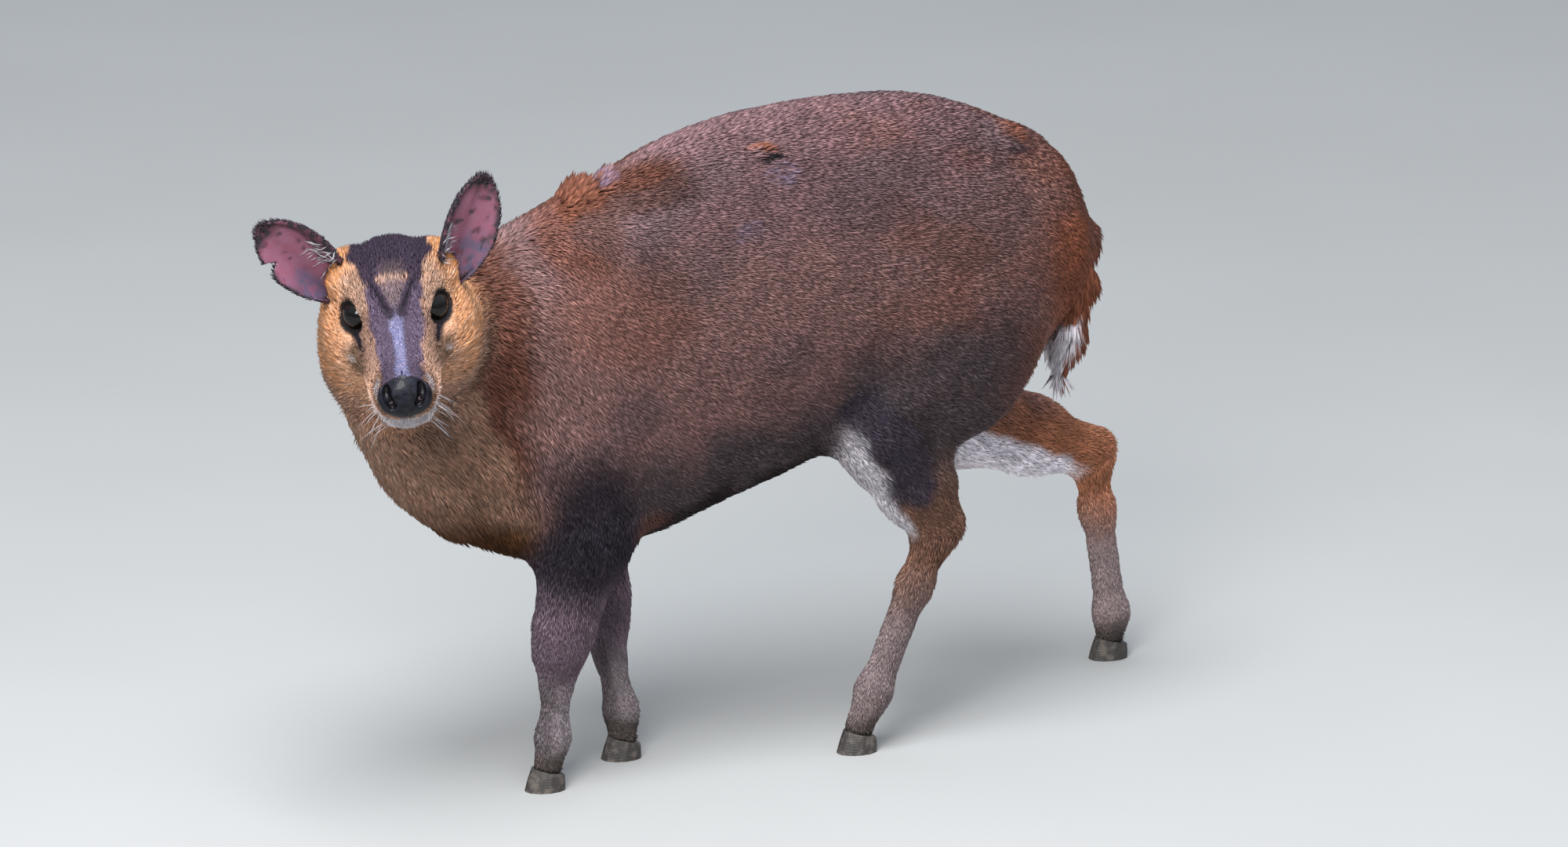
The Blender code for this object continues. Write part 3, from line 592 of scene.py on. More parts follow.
def ruffles_shadow_and_highlight(colour, body):
    """Three places where the coat of the back is disturbed and other colours show, with a painted shadow beside
    the scuff's raised tuft and a painted highlight on the flank.
    """
    body = body + 0.004 * ripple(body, 0.015, 9)[:, None]
    broken = smooth(ripple(body, 0.005, 12), -0.35, 0.25)
    return patched(
        colour, body,
        (RUST * 0.80, 0.90, False, (-0.009, -0.041, 0.4655), (0.014, 0.010, 0.0045)),
        (SILVER * 0.90, 0.35, True, (0.001, -0.054, 0.449), (0.013, 0.010, 0.008)),
        # Painted shadow, cast by the raised rust tuft of the scuff.
        (BLACK, 1.00, False, (-0.002, -0.046, 0.459), (0.011, 0.008, 0.0032)),
        (RUST * 0.55, 0.90, False, (-0.140, -0.006, 0.436), (0.020, 0.030, 0.016)),
        (BLACK, 0.80, False, (-0.128, -0.010, 0.440), (0.004, 0.016, 0.008)),
        (SILVER * 0.80, 0.40, True, (-0.118, -0.006, 0.445), (0.007, 0.014, 0.006)),
        # Painted highlight: a pale spot on the flank where the coat catches the light.
        (SILVER * 0.80, 0.25, True, (-0.030, -0.070, 0.411), (0.012, 0.012, 0.006)),
        (RUST, 0.70, False, (0.200, -0.018, 0.458), (0.016, 0.012, 0.007)),
        (SOOT, 0.60, False, (0.200, -0.032, 0.447), (0.014, 0.010, 0.005)),
        broken=broken,
    )


def neck_colour(colour, body):
    """Brown at the side and nape, fawn in front from the throat to the brisket."""
    x, y, z = body.T
    wave = 0.010 * ripple(body, 0.04, 5)
    colour = mixed(colour, NECK_BROWN, smooth(x + wave, -0.185, -0.215) * smooth(z, 0.425, 0.390))
    line = -0.235 + 0.53 * (0.300 - z) + 0.25 * np.maximum(0, np.abs(y + 0.02) - 0.05)
    front = smooth(x - line + wave, 0.014, -0.014) * smooth(z, 0.345, 0.310)
    fawn = mixed(np.tile(FAWN, (len(x), 1)), BRISKET_BROWN, smooth(z + wave, 0.235, 0.200))
    return colour + (fawn - colour) * front[:, None]


# %% Legs and tail
def leg_shares(body, bones):
    """How near a leg is, how far a point lies on its inner side, and how far in front of it."""
    line = np.array(bones)[::-1]
    middle_x, middle_y = (np.interp(body[:, 2], line[:, 2], line[:, k]) for k in range(2))
    side = -1 if line[-1, 1] < 0 else 1
    near = smooth(path_distance(body, bones), 0.056, 0.030)
    return near, (middle_y - body[:, 1]) * side, middle_x - body[:, 0]


def fore_leg_colour(colour, body, bones):
    """Soot above the knee, then plum grey, then ash down to the muddy foot."""
    z = body[:, 2]
    wave = 0.008 * ripple(body, 0.03, 7)
    near, _, ahead = leg_shares(body, bones)
    colour = mixed(colour, SOOT * 1.2, near * smooth(z, 0.235, 0.205))
    colour = mixed(colour, PLUM_GREY * (1.05, 1.0, 0.95), near * smooth(z + wave, 0.195, 0.112))
    colour = mixed(colour, ASH * 1.2, near * smooth(z + wave, 0.105, 0.060))
    colour = mixed(colour, UMBER, 0.6 * near * smooth(ahead, 0.002, 0.008) * smooth(z, 0.10, 0.08))
    return mixed(colour, MUD, near * smooth(z + wave, 0.040, 0.022))


def hind_leg_colour(colour, body, bones):
    """Brown outside, white in front and inside down to the hock, orange at the hock, ash below. The far (right)
    leg is painted lighter, as painted light against the shade it stands in.
    """
    z = body[:, 2]
    wave = 0.004 * ripple(body, 0.03, 8)
    near, inner, _ = leg_shares(body, bones)
    stifle, hock = np.array(bones[0]), np.array(bones[1])
    along = unit(hock - stifle)
    front = unit(np.array((along[2], 0, -along[0])))
    off = body - stifle
    ahead = off @ front
    right = float(stifle[1] > 0)
    # Painted light: the far (right) hock gets a lighter copy of the near one's orange, against the shade it stands
    # in.
    hock_colour = HOCK_ORANGE * 0.8 if right else HOCK_ORANGE * (0.50, 0.62, 0.78)
    colour = mixed(colour, hock_colour, near * smooth(z + 2 * wave, 0.245, 0.190))
    colour = mixed(colour, ASH * (1.15, 1.05, 1.0), near * smooth(z + wave, 0.150, 0.085))
    down = off @ along
    length = np.linalg.norm(hock - stifle)
    reach = smooth(down, -0.070, -0.045) * smooth(down, length - 0.002, length - 0.024)
    start = 0.006 + 0.007 * right
    white = smooth(0.85 * ahead + 0.55 * inner + wave, start, start + 0.007) * reach * near
    colour = mixed(colour, WHITE, white)
    # Painted light: the far (right) leg is lightened below the thigh, against the shade it stands in.
    colour = colour * (1 + 0.40 * right * near * smooth(z, 0.26, 0.22))[:, None]
    return mixed(colour, MUD, near * smooth(z + wave, 0.040, 0.022))


def leg_colour(colour, body):
    for name, bones in LEG_BONES.items():
        colour = (fore_leg_colour if "fore" in name else hind_leg_colour)(colour, body, bones)
    wide = np.c_[body[:, 0], np.abs(body[:, 1]), body[:, 2]]
    wave = 0.004 * ripple(body, 0.02, 10)
    stripe = smooth(path_distance(wide, THIGH_STRIPE) + wave, 0.024, 0.012) * smooth(wide[:, 1], 0.045, 0.058)
    colour = mixed(colour, SOOT * 2.0, 0.95 * stripe)
    return patched(colour, wide, (SOOT, 0.95, False, (-0.152, 0.080, 0.213), (0.034, 0.045, 0.050), 0.5))


def tail_colour(colour, body, normals, tail):
    """Rust behind, and long white hair in front and below."""
    white = np.maximum(smooth(normals[:, 0], 0.42, 0.10), smooth(body[:, 2], 0.266, 0.258))
    return mixed(mixed(colour, RUST, tail), WHITE * 1.1, tail * white * smooth(body[:, 2], 0.352, 0.335))


# %% Markings of the face
CROWN_WIDTH = ((-0.064, -0.028, -0.020, -0.004), (0.0250, 0.0300, 0.0240, 0.0190))
BRIDGE_WIDTH = ((0.000, 0.030, 0.052, 0.072), (0.0205, 0.0178, 0.0160, 0.0150))
# Groove, paint, its share, and the shares of the groove's half width between which it sets in.
GROOVE_PAINTS = (
    ("scent slit", SOOT * 0.6, 1.0, 3.0, 1.5),
    ("forehead slit", BLACK, 0.9, 1.7, 0.9),
    ("lips", BLACK, 1.0, 1.5, 0.8),
)


def face_colour(colour, head, share):
    """The face, from a place in the head's frame. share is how much of the head a point belongs to."""
    f, l, u = head.T
    wide = np.abs(l)
    folded = np.c_[f, wide, u]
    wave = 0.0014 * ripple(head, 0.012, 11)
    face = np.tile(CHEEK, (len(head), 1))
    face = patched(
        face, folded,
        (APRICOT, 1.00, False, (-0.002, 0.027, 0.020), (0.020, 0.013, 0.014)),
        (ORANGE * 0.70, 1.00, False, (-0.036, 0.036, 0.010), (0.022, 0.012, 0.020)),
    )
    face = mixed(face, ORANGE, 0.6 * smooth(wide + wave, 0.036, 0.044))
    face = mixed(face, FAWN * 1.3, smooth(u + wave, -0.040, -0.062) * smooth(f, 0.035, 0.010))
    # Beside the bridge the hair is tan, and below the eye it is ruffled brown round a white tuft.
    inner_corner = (TAN * (1.15, 1.00, 0.85), 0.85, False, (0.034, 0.0240, 0.000), (0.036, 0.0085, 0.020), 0.5)
    face = patched(face, folded, inner_corner)
    face = patched(
        face, folded + wave[:, None],
        (RUFFLED, 0.95, False, (0.033, 0.0290, -0.0140), (0.017, 0.0105, 0.0120), 0.5),
        (WHITE * 0.7, 0.50, False, (0.0290, 0.0345, -0.0170), (0.005, 0.004, 0.0035)),
    )
    # The bridge of the nose is slate, with a silver strip along its middle.
    edge = np.interp(f, *BRIDGE_WIDTH)
    bridge = smooth(wide + wave - edge, 0.0016, -0.0016) * smooth(f, -0.006, 0.004) * smooth(u, -0.014, -0.006)
    beside = smooth(wide + 1.5 * wave - edge, 0.0130, 0.0050) * smooth(f, 0.006, 0.018) * smooth(u, -0.034, -0.016)
    face = mixed(face, TAN * (0.90, 0.74, 0.60), 0.85 * beside)
    face = mixed(face, SLATE, bridge)
    face = mixed(face, SILVER, 0.8 * bridge * smooth(wide + wave, 0.0064, 0.0030) * smooth(f, 0.018, 0.036))
    # The crown is charcoal and narrows into the two forehead slits, with tan between them.
    crown = smooth(wide + wave - np.interp(f, *CROWN_WIDTH), 0.0018, -0.0018) * smooth(f, -0.001, -0.007)
    crown *= smooth(u, 0.006, 0.012)
    slit = path_distance(folded, GROOVES["forehead slit"][0])
    arms = smooth(slit + wave, 0.0052, 0.0032)
    face = mixed(face, CHARCOAL, np.maximum(crown, arms))
    between = smooth(wide + wave, 0.0125, 0.0060) * smooth(f, -0.024, 0.000) * smooth(f, 0.024, 0.016)
    face = mixed(face, TAN, 0.50 * between * (1 - arms) * smooth(u, 0.012, 0.018))
    # Chin, lips and the patches beside the nose are white.
    white = blob(folded, (0.066, 0.000, -0.038), (0.023, 0.026, 0.021))
    white = np.maximum(white, 0.55 * blob(folded, (0.0690, 0.0195, -0.0060), (0.007, 0.005, 0.007)))
    face = mixed(face, WHITE * 0.80, white)
    # Scent slits, forehead slits and lips are black.
    for side in SIDES.values():
        for name, paint, most, outer, inner in GROOVE_PAINTS:
            face = mixed(face, paint, most * smooth(groove_share(head, name, side), outer, inner))
    return mixed(colour, face, share)


# %% All markings together
def lid_share(points):
    """How far points are from the nearer eye's opening, with 1 at its edge."""
    return np.minimum(in_opening(points, 1)[0], in_opening(points, -1)[0])


def markings(points, normals, parts):
    """The colour of skin and coat at these points."""
    body, head = in_body(points), in_head(points)
    colour = body_colour(body)
    colour = neck_colour(colour, body)
    colour = leg_colour(colour, body)
    colour = tail_colour(colour, body, normals, parts["tail"])
    colour = face_colour(colour, head, parts["head"])
    return mixed(colour, BLACK, smooth(lid_share(points), 1.36, 1.20))


# %% [markdown]
# ## Writing materials
# A material is a tree of nodes. Reading sums of nodes is hard, and so numbers that vary over a
# surface are wrapped in a small class: an expression such as `1 - mask * 0.5` adds the Math
# nodes. Colours go through Mix nodes, because a Math node would turn them grey.

# %% Numbers that vary over a surface
class Varying:
    """An output socket that works in sums."""

    def __init__(self, finish, socket):
        self.finish, self.socket = finish, socket

    def sum(self, operation, *values, clamp=False):
        settings = {"operation": operation, "use_clamp": clamp}
        return self.finish.node("Math", settings, dict(enumerate(values)))

    def __add__(self, other):
        return self.sum("ADD", self, other)

    def __sub__(self, other):
        return self.sum("SUBTRACT", self, other)

    def __rsub__(self, other):
        return self.sum("SUBTRACT", other, self)

    def __mul__(self, other):
        return self.sum("MULTIPLY", self, other)

    __radd__ = __add__
    __rmul__ = __mul__

    def between(self, start, end):
        """A soft step from 0 at start to 1 at end."""
        settings = {"interpolation_type": "SMOOTHSTEP"}
        return self.finish.node("MapRange", settings, {0: self, 1: start, 2: end, 3: 0.0, 4: 1.0})


# %% A finish: one material and its shader
class Finish:
    def __init__(self, name, **constants):
        self.material = bpy.data.materials.new(name)
        self.material.use_nodes = True
        self.tree = self.material.node_tree
        self.shader = self.tree.nodes["Principled BSDF"]
        for socket, value in constants.items():
            self.shader.inputs[socket.replace("_", " ")].default_value = value

    def node(self, kind, settings=None, inputs=None, output=0):
        made = self.tree.nodes.new("ShaderNode" + kind)
        for name, value in (settings or {}).items():
            setattr(made, name, value)
        for name, value in (inputs or {}).items():
            self.feed(made.inputs[name], value)
        return Varying(self, made.outputs[output])

    def feed(self, socket, value):
        if isinstance(value, Varying):
            self.tree.links.new(value.socket, socket)
        else:
            socket.default_value = value

    def attribute(self, name, output=2):
        return self.node("Attribute", {"attribute_name": name}, output=output)

    def mix(self, share, a, b, blend="MIX"):
        return self.node("Mix", {"data_type": "RGBA", "blend_type": blend}, {0: share, 6: a, 7: b}, output=2)

    def noise(self, size, detail=2.0, output=0, **inputs):
        """Noise whose features are about `size` metres across, on the object's own coordinates."""
        place = self.node("TexCoord", output=3)
        sockets = {"Vector": place, "Scale": 1 / size, "Detail": detail, **inputs}
        return self.node("TexNoise", None, sockets, output)

    def bump(self, height, distance, strength=1.0):
        return self.node("Bump", None, {"Height": height, "Distance": distance, "Strength": strength})

    def surface(self, **sockets):
        for name, value in sockets.items():
            self.feed(self.shader.inputs[name.replace("_", " ")], value)
        return self.material


# %% [markdown]
# ## The tufts
# One tuft stands for a pinch of hairs: a flat spike with a ridge along its back, rooted in the
# skin and lying along the way that the hair grows. Four triangles close it, so that a few
# hundred thousand stay light. Its root is darkened as painted shade deep in the coat, its tip is
# pale, and its tone varies from tuft to tuft, which gives the coat its ticked look.

# %% The skin as arrays, and its flat unwrap
def unwrap(obj):
    bpy.context.view_layer.objects.active = obj
    obj.select_set(True)
    obj.data.uv_layers.new(name="OFBake")
    bpy.ops.object.mode_set(mode="EDIT")
    bpy.ops.mesh.select_all(action="SELECT")
    bpy.ops.uv.smart_project(angle_limit=1.15, island_margin=0.002, scale_to_bounds=True)
    bpy.ops.object.mode_set(mode="OBJECT")
    obj.select_set(False)


class Ground:
    """A surface that tufts grow on: its triangles, normals and flat unwrap."""

    def __init__(self, obj):
        mesh = obj.data
        self.triangles = triangles_of(mesh)
        self.points = places_of(mesh)
        self.normals = normals_of(mesh)
        loops = read(mesh.loop_triangles, "loops", np.int32)
        self.flat = read(mesh.uv_layers["OFBake"].uv, "vector", np.float32, 2)[loops]
        a, b, c = (self.points[self.triangles[:, k]] for k in range(3))
        self.area = np.linalg.norm(np.cross(b - a, c - a), axis=1) / 2
        self.middle = (a + b + c) / 3

    def sow(self, spacing, seed):
        """Roots about `spacing` apart, which is given per triangle: their places, normals and unwrap."""
        draw = np.random.default_rng(seed)
        wanted = np.floor(self.area / spacing**2 + draw.random(len(self.area))).astype(int)
        wanted[~np.isfinite(spacing)] = 0
        rows = np.repeat(np.arange(len(wanted)), wanted)
        u, v = draw.random((2, len(rows)))
        over = u + v > 1
        u[over], v[over] = 1 - u[over], 1 - v[over]
        weights = np.stack([1 - u - v, u, v], 1)[:, :, None]
        corners = self.triangles[rows]
        return (
            (self.points[corners] * weights).sum(1),
            unit((self.normals[corners] * weights).sum(1)),
            (self.flat[rows] * weights).sum(1),
        )


unwrap(skin)
ground = Ground(skin)
print("ground:", len(ground.area), "triangles,", round(float(ground.area.sum()), 3), "square metres")

# %% The way the hair grows
MUZZLE_TIP = (0.052, 0.0, -0.030)


def lie_of(points, normals, parts):
    """The direction in which the hair points, along the surface."""
    body, head = in_body(points), in_head(points)
    x, _, z = body.T
    down = 0.30 + 0.75 * smooth(x, -0.06, -0.16) + 0.35 * smooth(z, 0.40, 0.26) + 0.5 * smooth(x, 0.16, 0.24)
    way = np.c_[np.ones(len(x)), 0.0 * x, -down]
    neck = np.tile((0.62, 0.28, -0.75), (len(x), 1))
    way = mixed(unit(way), unit(neck), parts["neck"])
    nearest = np.full(len(x), np.inf)
    leg_way = np.tile((0.0, 0.0, -1.0), (len(x), 1))
    for bones in LEG_BONES.values():
        for a, b in zip(bones, bones[1:]):
            far, _ = line_distance(body, np.array(a), np.array(b))
            closer = far < nearest
            nearest = np.where(closer, far, nearest)
            leg_way[closer] = unit(np.subtract(b, a) + np.array((0.02, 0, 0)))
    way = mixed(way, leg_way, parts["leg"])
    hang = np.c_[0.10 - 0.50 * smooth(normals[:, 0], 0.3, -0.3), 0.0 * x, -np.ones(len(x))]
    way = mixed(way, hang, parts["tail"])
    fan = unit(head - np.array(MUZZLE_TIP)) @ HEAD_ROWS
    way = mixed(way, fan, parts["head"])
    swirl = 0.11 * ripple(points, 0.060, 21)[:, None] * np.cross(normals, way)
    way = way + swirl
    return unit(way - normals * (way * normals).sum(1, keepdims=True))


# %% Building tufts
UV_PATCH = 0.003


def tuft_arrays(roots, normals, ways, length, width, lift):
    """Corners of flat four-sided tufts: left root, right root, ridge, tip."""
    side = np.cross(ways, normals)
    rise = np.sin(lift)[:, None]
    ahead = (np.cos(lift) * length)[:, None] * ways
    tip = roots + ahead + normals * rise * length[:, None] * 0.85
    ridge = roots + ahead * 0.42 + normals * (rise * length[:, None] * 0.60 + 0.22 * width[:, None])
    sunk = roots - normals * 0.0004
    half = side * (width / 2)[:, None]
    return np.stack([sunk - half, sunk + half, ridge, tip], 1)


TUFT_FACES = np.array(((0, 3, 1), (0, 1, 2), (0, 2, 3), (2, 1, 3)))
TUFT_FLAT = np.array(((-0.5, -0.5), (0.5, -0.5), (0.0, 0.1), (0.0, 0.5)))
TUFT_ALONG = np.array((0.0, 0.0, 0.50, 1.0))


def tuft_object(name, corners, faces, flat, along, colours, tones, uv, material):
    """One mesh of many tufts that share their layout. corners is tuft x corner x 3."""
    number, size = corners.shape[:2]
    mesh = bpy.data.meshes.new(name)
    triangles = (faces[None] + (np.arange(number) * size)[:, None, None]).reshape(-1, 3)
    mesh.vertices.add(number * size)
    mesh.vertices.foreach_set("co", corners.astype(np.float32).ravel())
    mesh.loops.add(triangles.size)
    mesh.loops.foreach_set("vertex_index", triangles.astype(np.int32).ravel())
    mesh.polygons.add(len(triangles))
    mesh.polygons.foreach_set("loop_start", np.arange(0, triangles.size, 3, dtype=np.int32))
    mesh.update(calc_edges=True)
    layer = mesh.uv_layers.new(name="OFBake")
    spots = uv[:, None] + flat[None] * UV_PATCH
    layer.uv.foreach_set("vector", spots[:, faces].astype(np.float32).ravel())
    paint_points(mesh, np.repeat(colours, size, axis=0))
    store(mesh, "along", np.tile(along, number))
    store(mesh, "tone", np.repeat(tones, size))
    obj = bpy.data.objects.new(name, mesh)
    bpy.context.scene.collection.objects.link(obj)
    mesh.materials.append(material)
    return obj


# %% The coat's finish
def coat_finish(name):
    """Tufts: roots darkened as painted shade between the tufts, pale tips, and a tone of their own."""
    finish = Finish(name, Roughness=0.60, Specular_IOR_Level=0.14)
    colour, along, tone = finish.attribute("coat_colour", 0), finish.attribute("along"), finish.attribute("tone")
    pale = finish.mix(1.0, colour, (2.15, 2.05, 1.95, 1), "MULTIPLY")
    # Painted shade: the roots are darkened for the shade that the tufts cast on each other near the skin.
    dark = finish.mix(1.0, colour, (0.46, 0.43, 0.43, 1), "MULTIPLY")
    ticked = finish.mix(tone, colour, pale)
    body = finish.mix(along.between(0.10, 0.80), dark, ticked)
    return finish.surface(Base_Color=body)


COAT = coat_finish("coat hair")

# %% [markdown]
# ## Growing the coat
# Each stretch of coat has its own spacing, length, width and lift. Hair stands up more where
# the photographed animal is ruffled: on the withers, beside a scuffed spot on the back, and on
# the croup. Each piece stays under 200,000 triangles, so the trunk is grown as several pieces.

# %% Length, width and lift over the body
def growth(points, parts):
    """Length, width, lift in radians and spacing of the tufts at these points."""
    body, head = in_body(points), in_head(points)
    x, _, z = body.T
    f, l, u = head.T
    length = np.full(len(x), 0.0095)
    width = np.full(len(x), 0.00115)
    lift = np.full(len(x), math.radians(13))
    spacing = np.full(len(x), 0.00168)

    def toward(share, to_length, to_width, to_lift, to_spacing):
        nonlocal length, width, lift, spacing
        length = length + (to_length - length) * share
        width = width + (to_width - width) * share
        lift = lift + (math.radians(to_lift) - lift) * share
        spacing = spacing + (to_spacing - spacing) * share

    toward(smooth(z, 0.215, 0.180) * smooth(x, -0.02, -0.10), 0.0140, 0.0012, 14, 0.0018)
    toward(parts["neck"], 0.0130, 0.0011, 19, 0.0016)
    toward(parts["neck"] * smooth(z, 0.24, 0.20), 0.0170, 0.0012, 20, 0.0017)
    toward(parts["leg"], 0.0090, 0.0011, 13, 0.0015)
    toward(parts["shank"], 0.0060, 0.0009, 12, 0.0012)
    toward(parts["tail"], 0.0210, 0.0012, 20, 0.0014)
    toward(parts["head"], 0.0068, 0.00080, 18, 0.00110)
    toward(parts["head"] * smooth(np.abs(l), 0.034, 0.044), 0.0110, 0.0010, 24, 0.00125)
    toward(parts["head"] * smooth(f, -0.012, -0.030) * smooth(u, 0.0, 0.012), 0.0072, 0.0008, 22, 0.00112)
    toward(parts["head"] * smooth(f, 0.000, 0.030) * smooth(u, -0.030, -0.015), 0.0045, 0.0007, 16, 0.00092)
    toward(parts["head"] * smooth(np.abs(l), 0.018, 0.010) * smooth(f, 0.010, 0.030), 0.0032, 0.0006, 10, 0.00086)
    toward(parts["head"] * smooth(pad_share(head), 1.5, 1.1), 0.0020, 0.0005, 12, 0.00080)
    toward(smooth(lid_share(points), 2.2, 1.4), 0.0026, 0.0006, 14, 0.0009)
    for centre, radii, to_length, to_lift in RUFFLES:
        toward(blob(body, centre, radii, 0.5), to_length, 0.0011, to_lift, 0.0014)
    return length, width, lift, spacing


# Centre and radii in the body's frame, length of hair and its lift in degrees.
RUFFLES = (
    ((-0.140, -0.004, 0.436), (0.012, 0.022, 0.012), 0.0180, 46),
    ((-0.118, -0.006, 0.445), (0.009, 0.018, 0.008), 0.0140, 35),
    ((-0.010, -0.041, 0.466), (0.012, 0.010, 0.005), 0.0120, 42),
    ((0.001, -0.054, 0.449), (0.014, 0.010, 0.008), 0.0130, 12),
    ((0.195, -0.025, 0.455), (0.020, 0.020, 0.010), 0.0130, 30),
)


def bare(points):
    """True where no hair grows: in the eyes' openings, the slits and under the nose pad."""
    head = in_head(points)
    none = lid_share(points) < 1.16
    for side in SIDES.values():
        none |= groove_share(head, "scent slit", side) < 1.0
    return none | (pad_share(head) < 1.04)


# %% Roots for the whole coat
seed_parts = masks(ground.middle)
_, _, _, ground_spacing = growth(ground.middle, seed_parts)
ground_spacing[bare(ground.middle)] = np.inf
roots, root_normals, root_flat = ground.sow(ground_spacing, 101)
print("coat:", len(roots), "roots")

# %% The tufts themselves
draw = np.random.default_rng(202)
root_parts = masks(roots)
length, width, lift, _ = growth(roots, root_parts)
ways = lie_of(roots, root_normals, root_parts)
turn = draw.normal(0, 0.11, len(roots))[:, None]
ways = unit(ways * np.cos(turn) + np.cross(root_normals, ways) * np.sin(turn))
length *= draw.uniform(0.75, 1.2, len(roots))
width *= draw.uniform(0.75, 1.25, len(roots))
lift *= draw.uniform(0.7, 1.35, len(roots))
tones = draw.random(len(roots)) ** 1.6
tones *= 1 - 0.5 * root_parts["shank"]
colours = markings(roots, root_normals, root_parts)
# Cream tips are mixed in over the face and the front of the neck.
creamy = np.maximum(root_parts["head"], root_parts["neck"] * 0.6) * smooth(colours.mean(1), 0.08, 0.22)
colours = mixed(colours, CREAM, 0.42 * creamy * draw.random(len(roots)) ** 3)
uneven = 1 + 0.12 * ripple(roots, 0.03, 41) + 0.10 * ripple(roots, 0.009, 42)
colours *= draw.uniform(0.78, 1.22, (len(roots), 1)) * uneven[:, None]
corners = tuft_arrays(roots, root_normals, ways, length, width, lift)

# %% Parting the coat into pieces
TUFTS_A_PIECE = 48000


def coat_pieces():
    """Which stretch each root belongs to."""
    body = in_body(roots)
    stretch = np.full(len(roots), "flank_right", dtype=object)
    stretch[body[:, 1] < 0] = "flank_left"
    stretch[body[:, 2] > 0.44] = "back"
    stretch[root_parts["neck"] > 0.5] = "neck"
    stretch[root_parts["leg"] > 0.5] = "legs"
    stretch[root_parts["tail"] > 0.5] = "tail"
    stretch[root_parts["head"] > 0.5] = "head"
    for name in sorted(set(stretch)):
        rows = np.flatnonzero(stretch == name)
        parts_needed = math.ceil(len(rows) / TUFTS_A_PIECE)
        for i, share in enumerate(np.array_split(rows, parts_needed)):
            yield (f"coat_{name}" if parts_needed == 1 else f"coat_{name}_{i + 1}"), share


coat = []
for name, rows in coat_pieces():
    made = tuft_object(
        name, corners[rows], TUFT_FACES, TUFT_FLAT, TUFT_ALONG, colours[rows], tones[rows], root_flat[rows], COAT
    )
    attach(made, "root")
    coat.append(made)
    print(name, len(rows), "tufts")

# %% The skin's finish
paint_points(skin.data, markings(ground.points, ground.normals, masks(ground.points)))


def skin_finish():
    finish = Finish("skin under the coat", Roughness=0.7, Specular_IOR_Level=0.2)
    colour = finish.attribute("coat_colour", 0)
    grain = finish.noise(0.0012, 3.0)
    shaded = finish.mix(grain.between(0.35, 0.65), finish.mix(0.6, colour, (0.008, 0.005, 0.005, 1)), colour)
    return finish.surface(Base_Color=shaded, Normal=finish.bump(grain, 0.0006))


skin.data.materials.append(skin_finish())
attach(skin, "root")
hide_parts(*[n for n in FLESH if n != "nose"])
print("skin: painted")

# %% [markdown]
# ## Eyes
# A muntjac's eye is a dark brown globe that looks black until the sky shows in it. The eyeball
# solids are coarse, so a finer ball of the same size takes each one's place, with the cornea's
# slight bulge at its front.

# %% Eyeballs
CORNEA_BULGE = 0.0005


def eye_finish():
    finish = Finish("eye", Roughness=0.03, IOR=1.38, Specular_IOR_Level=0.5)
    edge = finish.attribute("iris")
    brown = finish.mix(edge.between(0.45, 0.95), (0.002, 0.0015, 0.0015, 1), (0.012, 0.006, 0.004, 1))
    return finish.surface(Base_Color=brown)


EYE_FINISH = eye_finish()
for name, side in SIDES.items():
    centre, rows = eye_frame(side)
    bm = bmesh.new()
    bmesh.ops.create_icosphere(bm, subdivisions=5, radius=EYE_RADIUS)
    ball = new_object(f"eyeball_{name}", bm)
    local = places_of(ball.data)
    off = np.linalg.norm(local - np.outer(local @ rows[0], rows[0]), axis=1)
    front = (local @ rows[0] > 0) * smooth(off, 0.0085, 0.0040)
    place(ball.data, centre + local * (1 + front * CORNEA_BULGE / EYE_RADIUS)[:, None])
    store(ball.data, "iris", off / EYE_RADIUS)
    ball.data.shade_smooth()
    ball.data.materials.append(EYE_FINISH)
    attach(ball, "root")
    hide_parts(f"eye_{name}")
    print(ball.name, "at", centre.round(4))

# %% [markdown]
# ## Nose pad
# The bare nose is moist and finely pebbled. Its solid already has the pad's outline and the
# nostrils, so its own mesh is divided, smoothed and deepened, and its back is pushed under the
# fur round it.

# %% The pad
NOSTRIL = ((0.0795, 0.0134, 0.0030), (0.0846, 0.0128, -0.0020), (0.0884, 0.0100, -0.0070))
WING = ((0.0770, 0.0168, -0.0010), (0.0810, 0.0172, -0.0070), (0.0835, 0.0140, -0.0120))


def subdivided(obj, levels):
    with_modifier(obj, "SUBSURF", levels=levels, render_levels=levels)


nose = new_object("nose_pad", welded(["nose"]))
head_places = in_head(places_of(nose.data))
rim = head_places @ NOSE_FACING
head_places -= np.outer(smooth(rim, rim.min() + 0.0006, rim.min()), NOSE_FACING) * 0.004
place(nose.data, HEAD_AT + head_places @ HEAD_ROWS)
subdivided(nose, 2)
nose_points, nose_normals = places_of(nose.data), normals_of(nose.data)
nose_head = in_head(nose_points)
lift_by = -0.0016 * smooth(pad_share(nose_head), 1.0, 1.15)
hollow = np.zeros(len(nose_points))
for side in SIDES.values():
    far = path_distance(nose_head, [(f, left * side, up) for f, left, up in NOSTRIL])
    hollow = np.maximum(hollow, smooth(far, 0.0042, 0.0014))
    far = path_distance(nose_head, [(f, left * side, up) for f, left, up in WING])
    lift_by += 0.0008 * smooth(far, 0.0045, 0.0010)
lift_by -= 0.0034 * hollow
lift_by -= 0.0008 * smooth(np.abs(nose_head[:, 1]), 0.0012, 0.0002) * smooth(nose_head[:, 2], -0.008, -0.014)
place(nose.data, nose_points + nose_normals * lift_by[:, None])
store(nose.data, "hollow", hollow)
nose.data.shade_smooth()


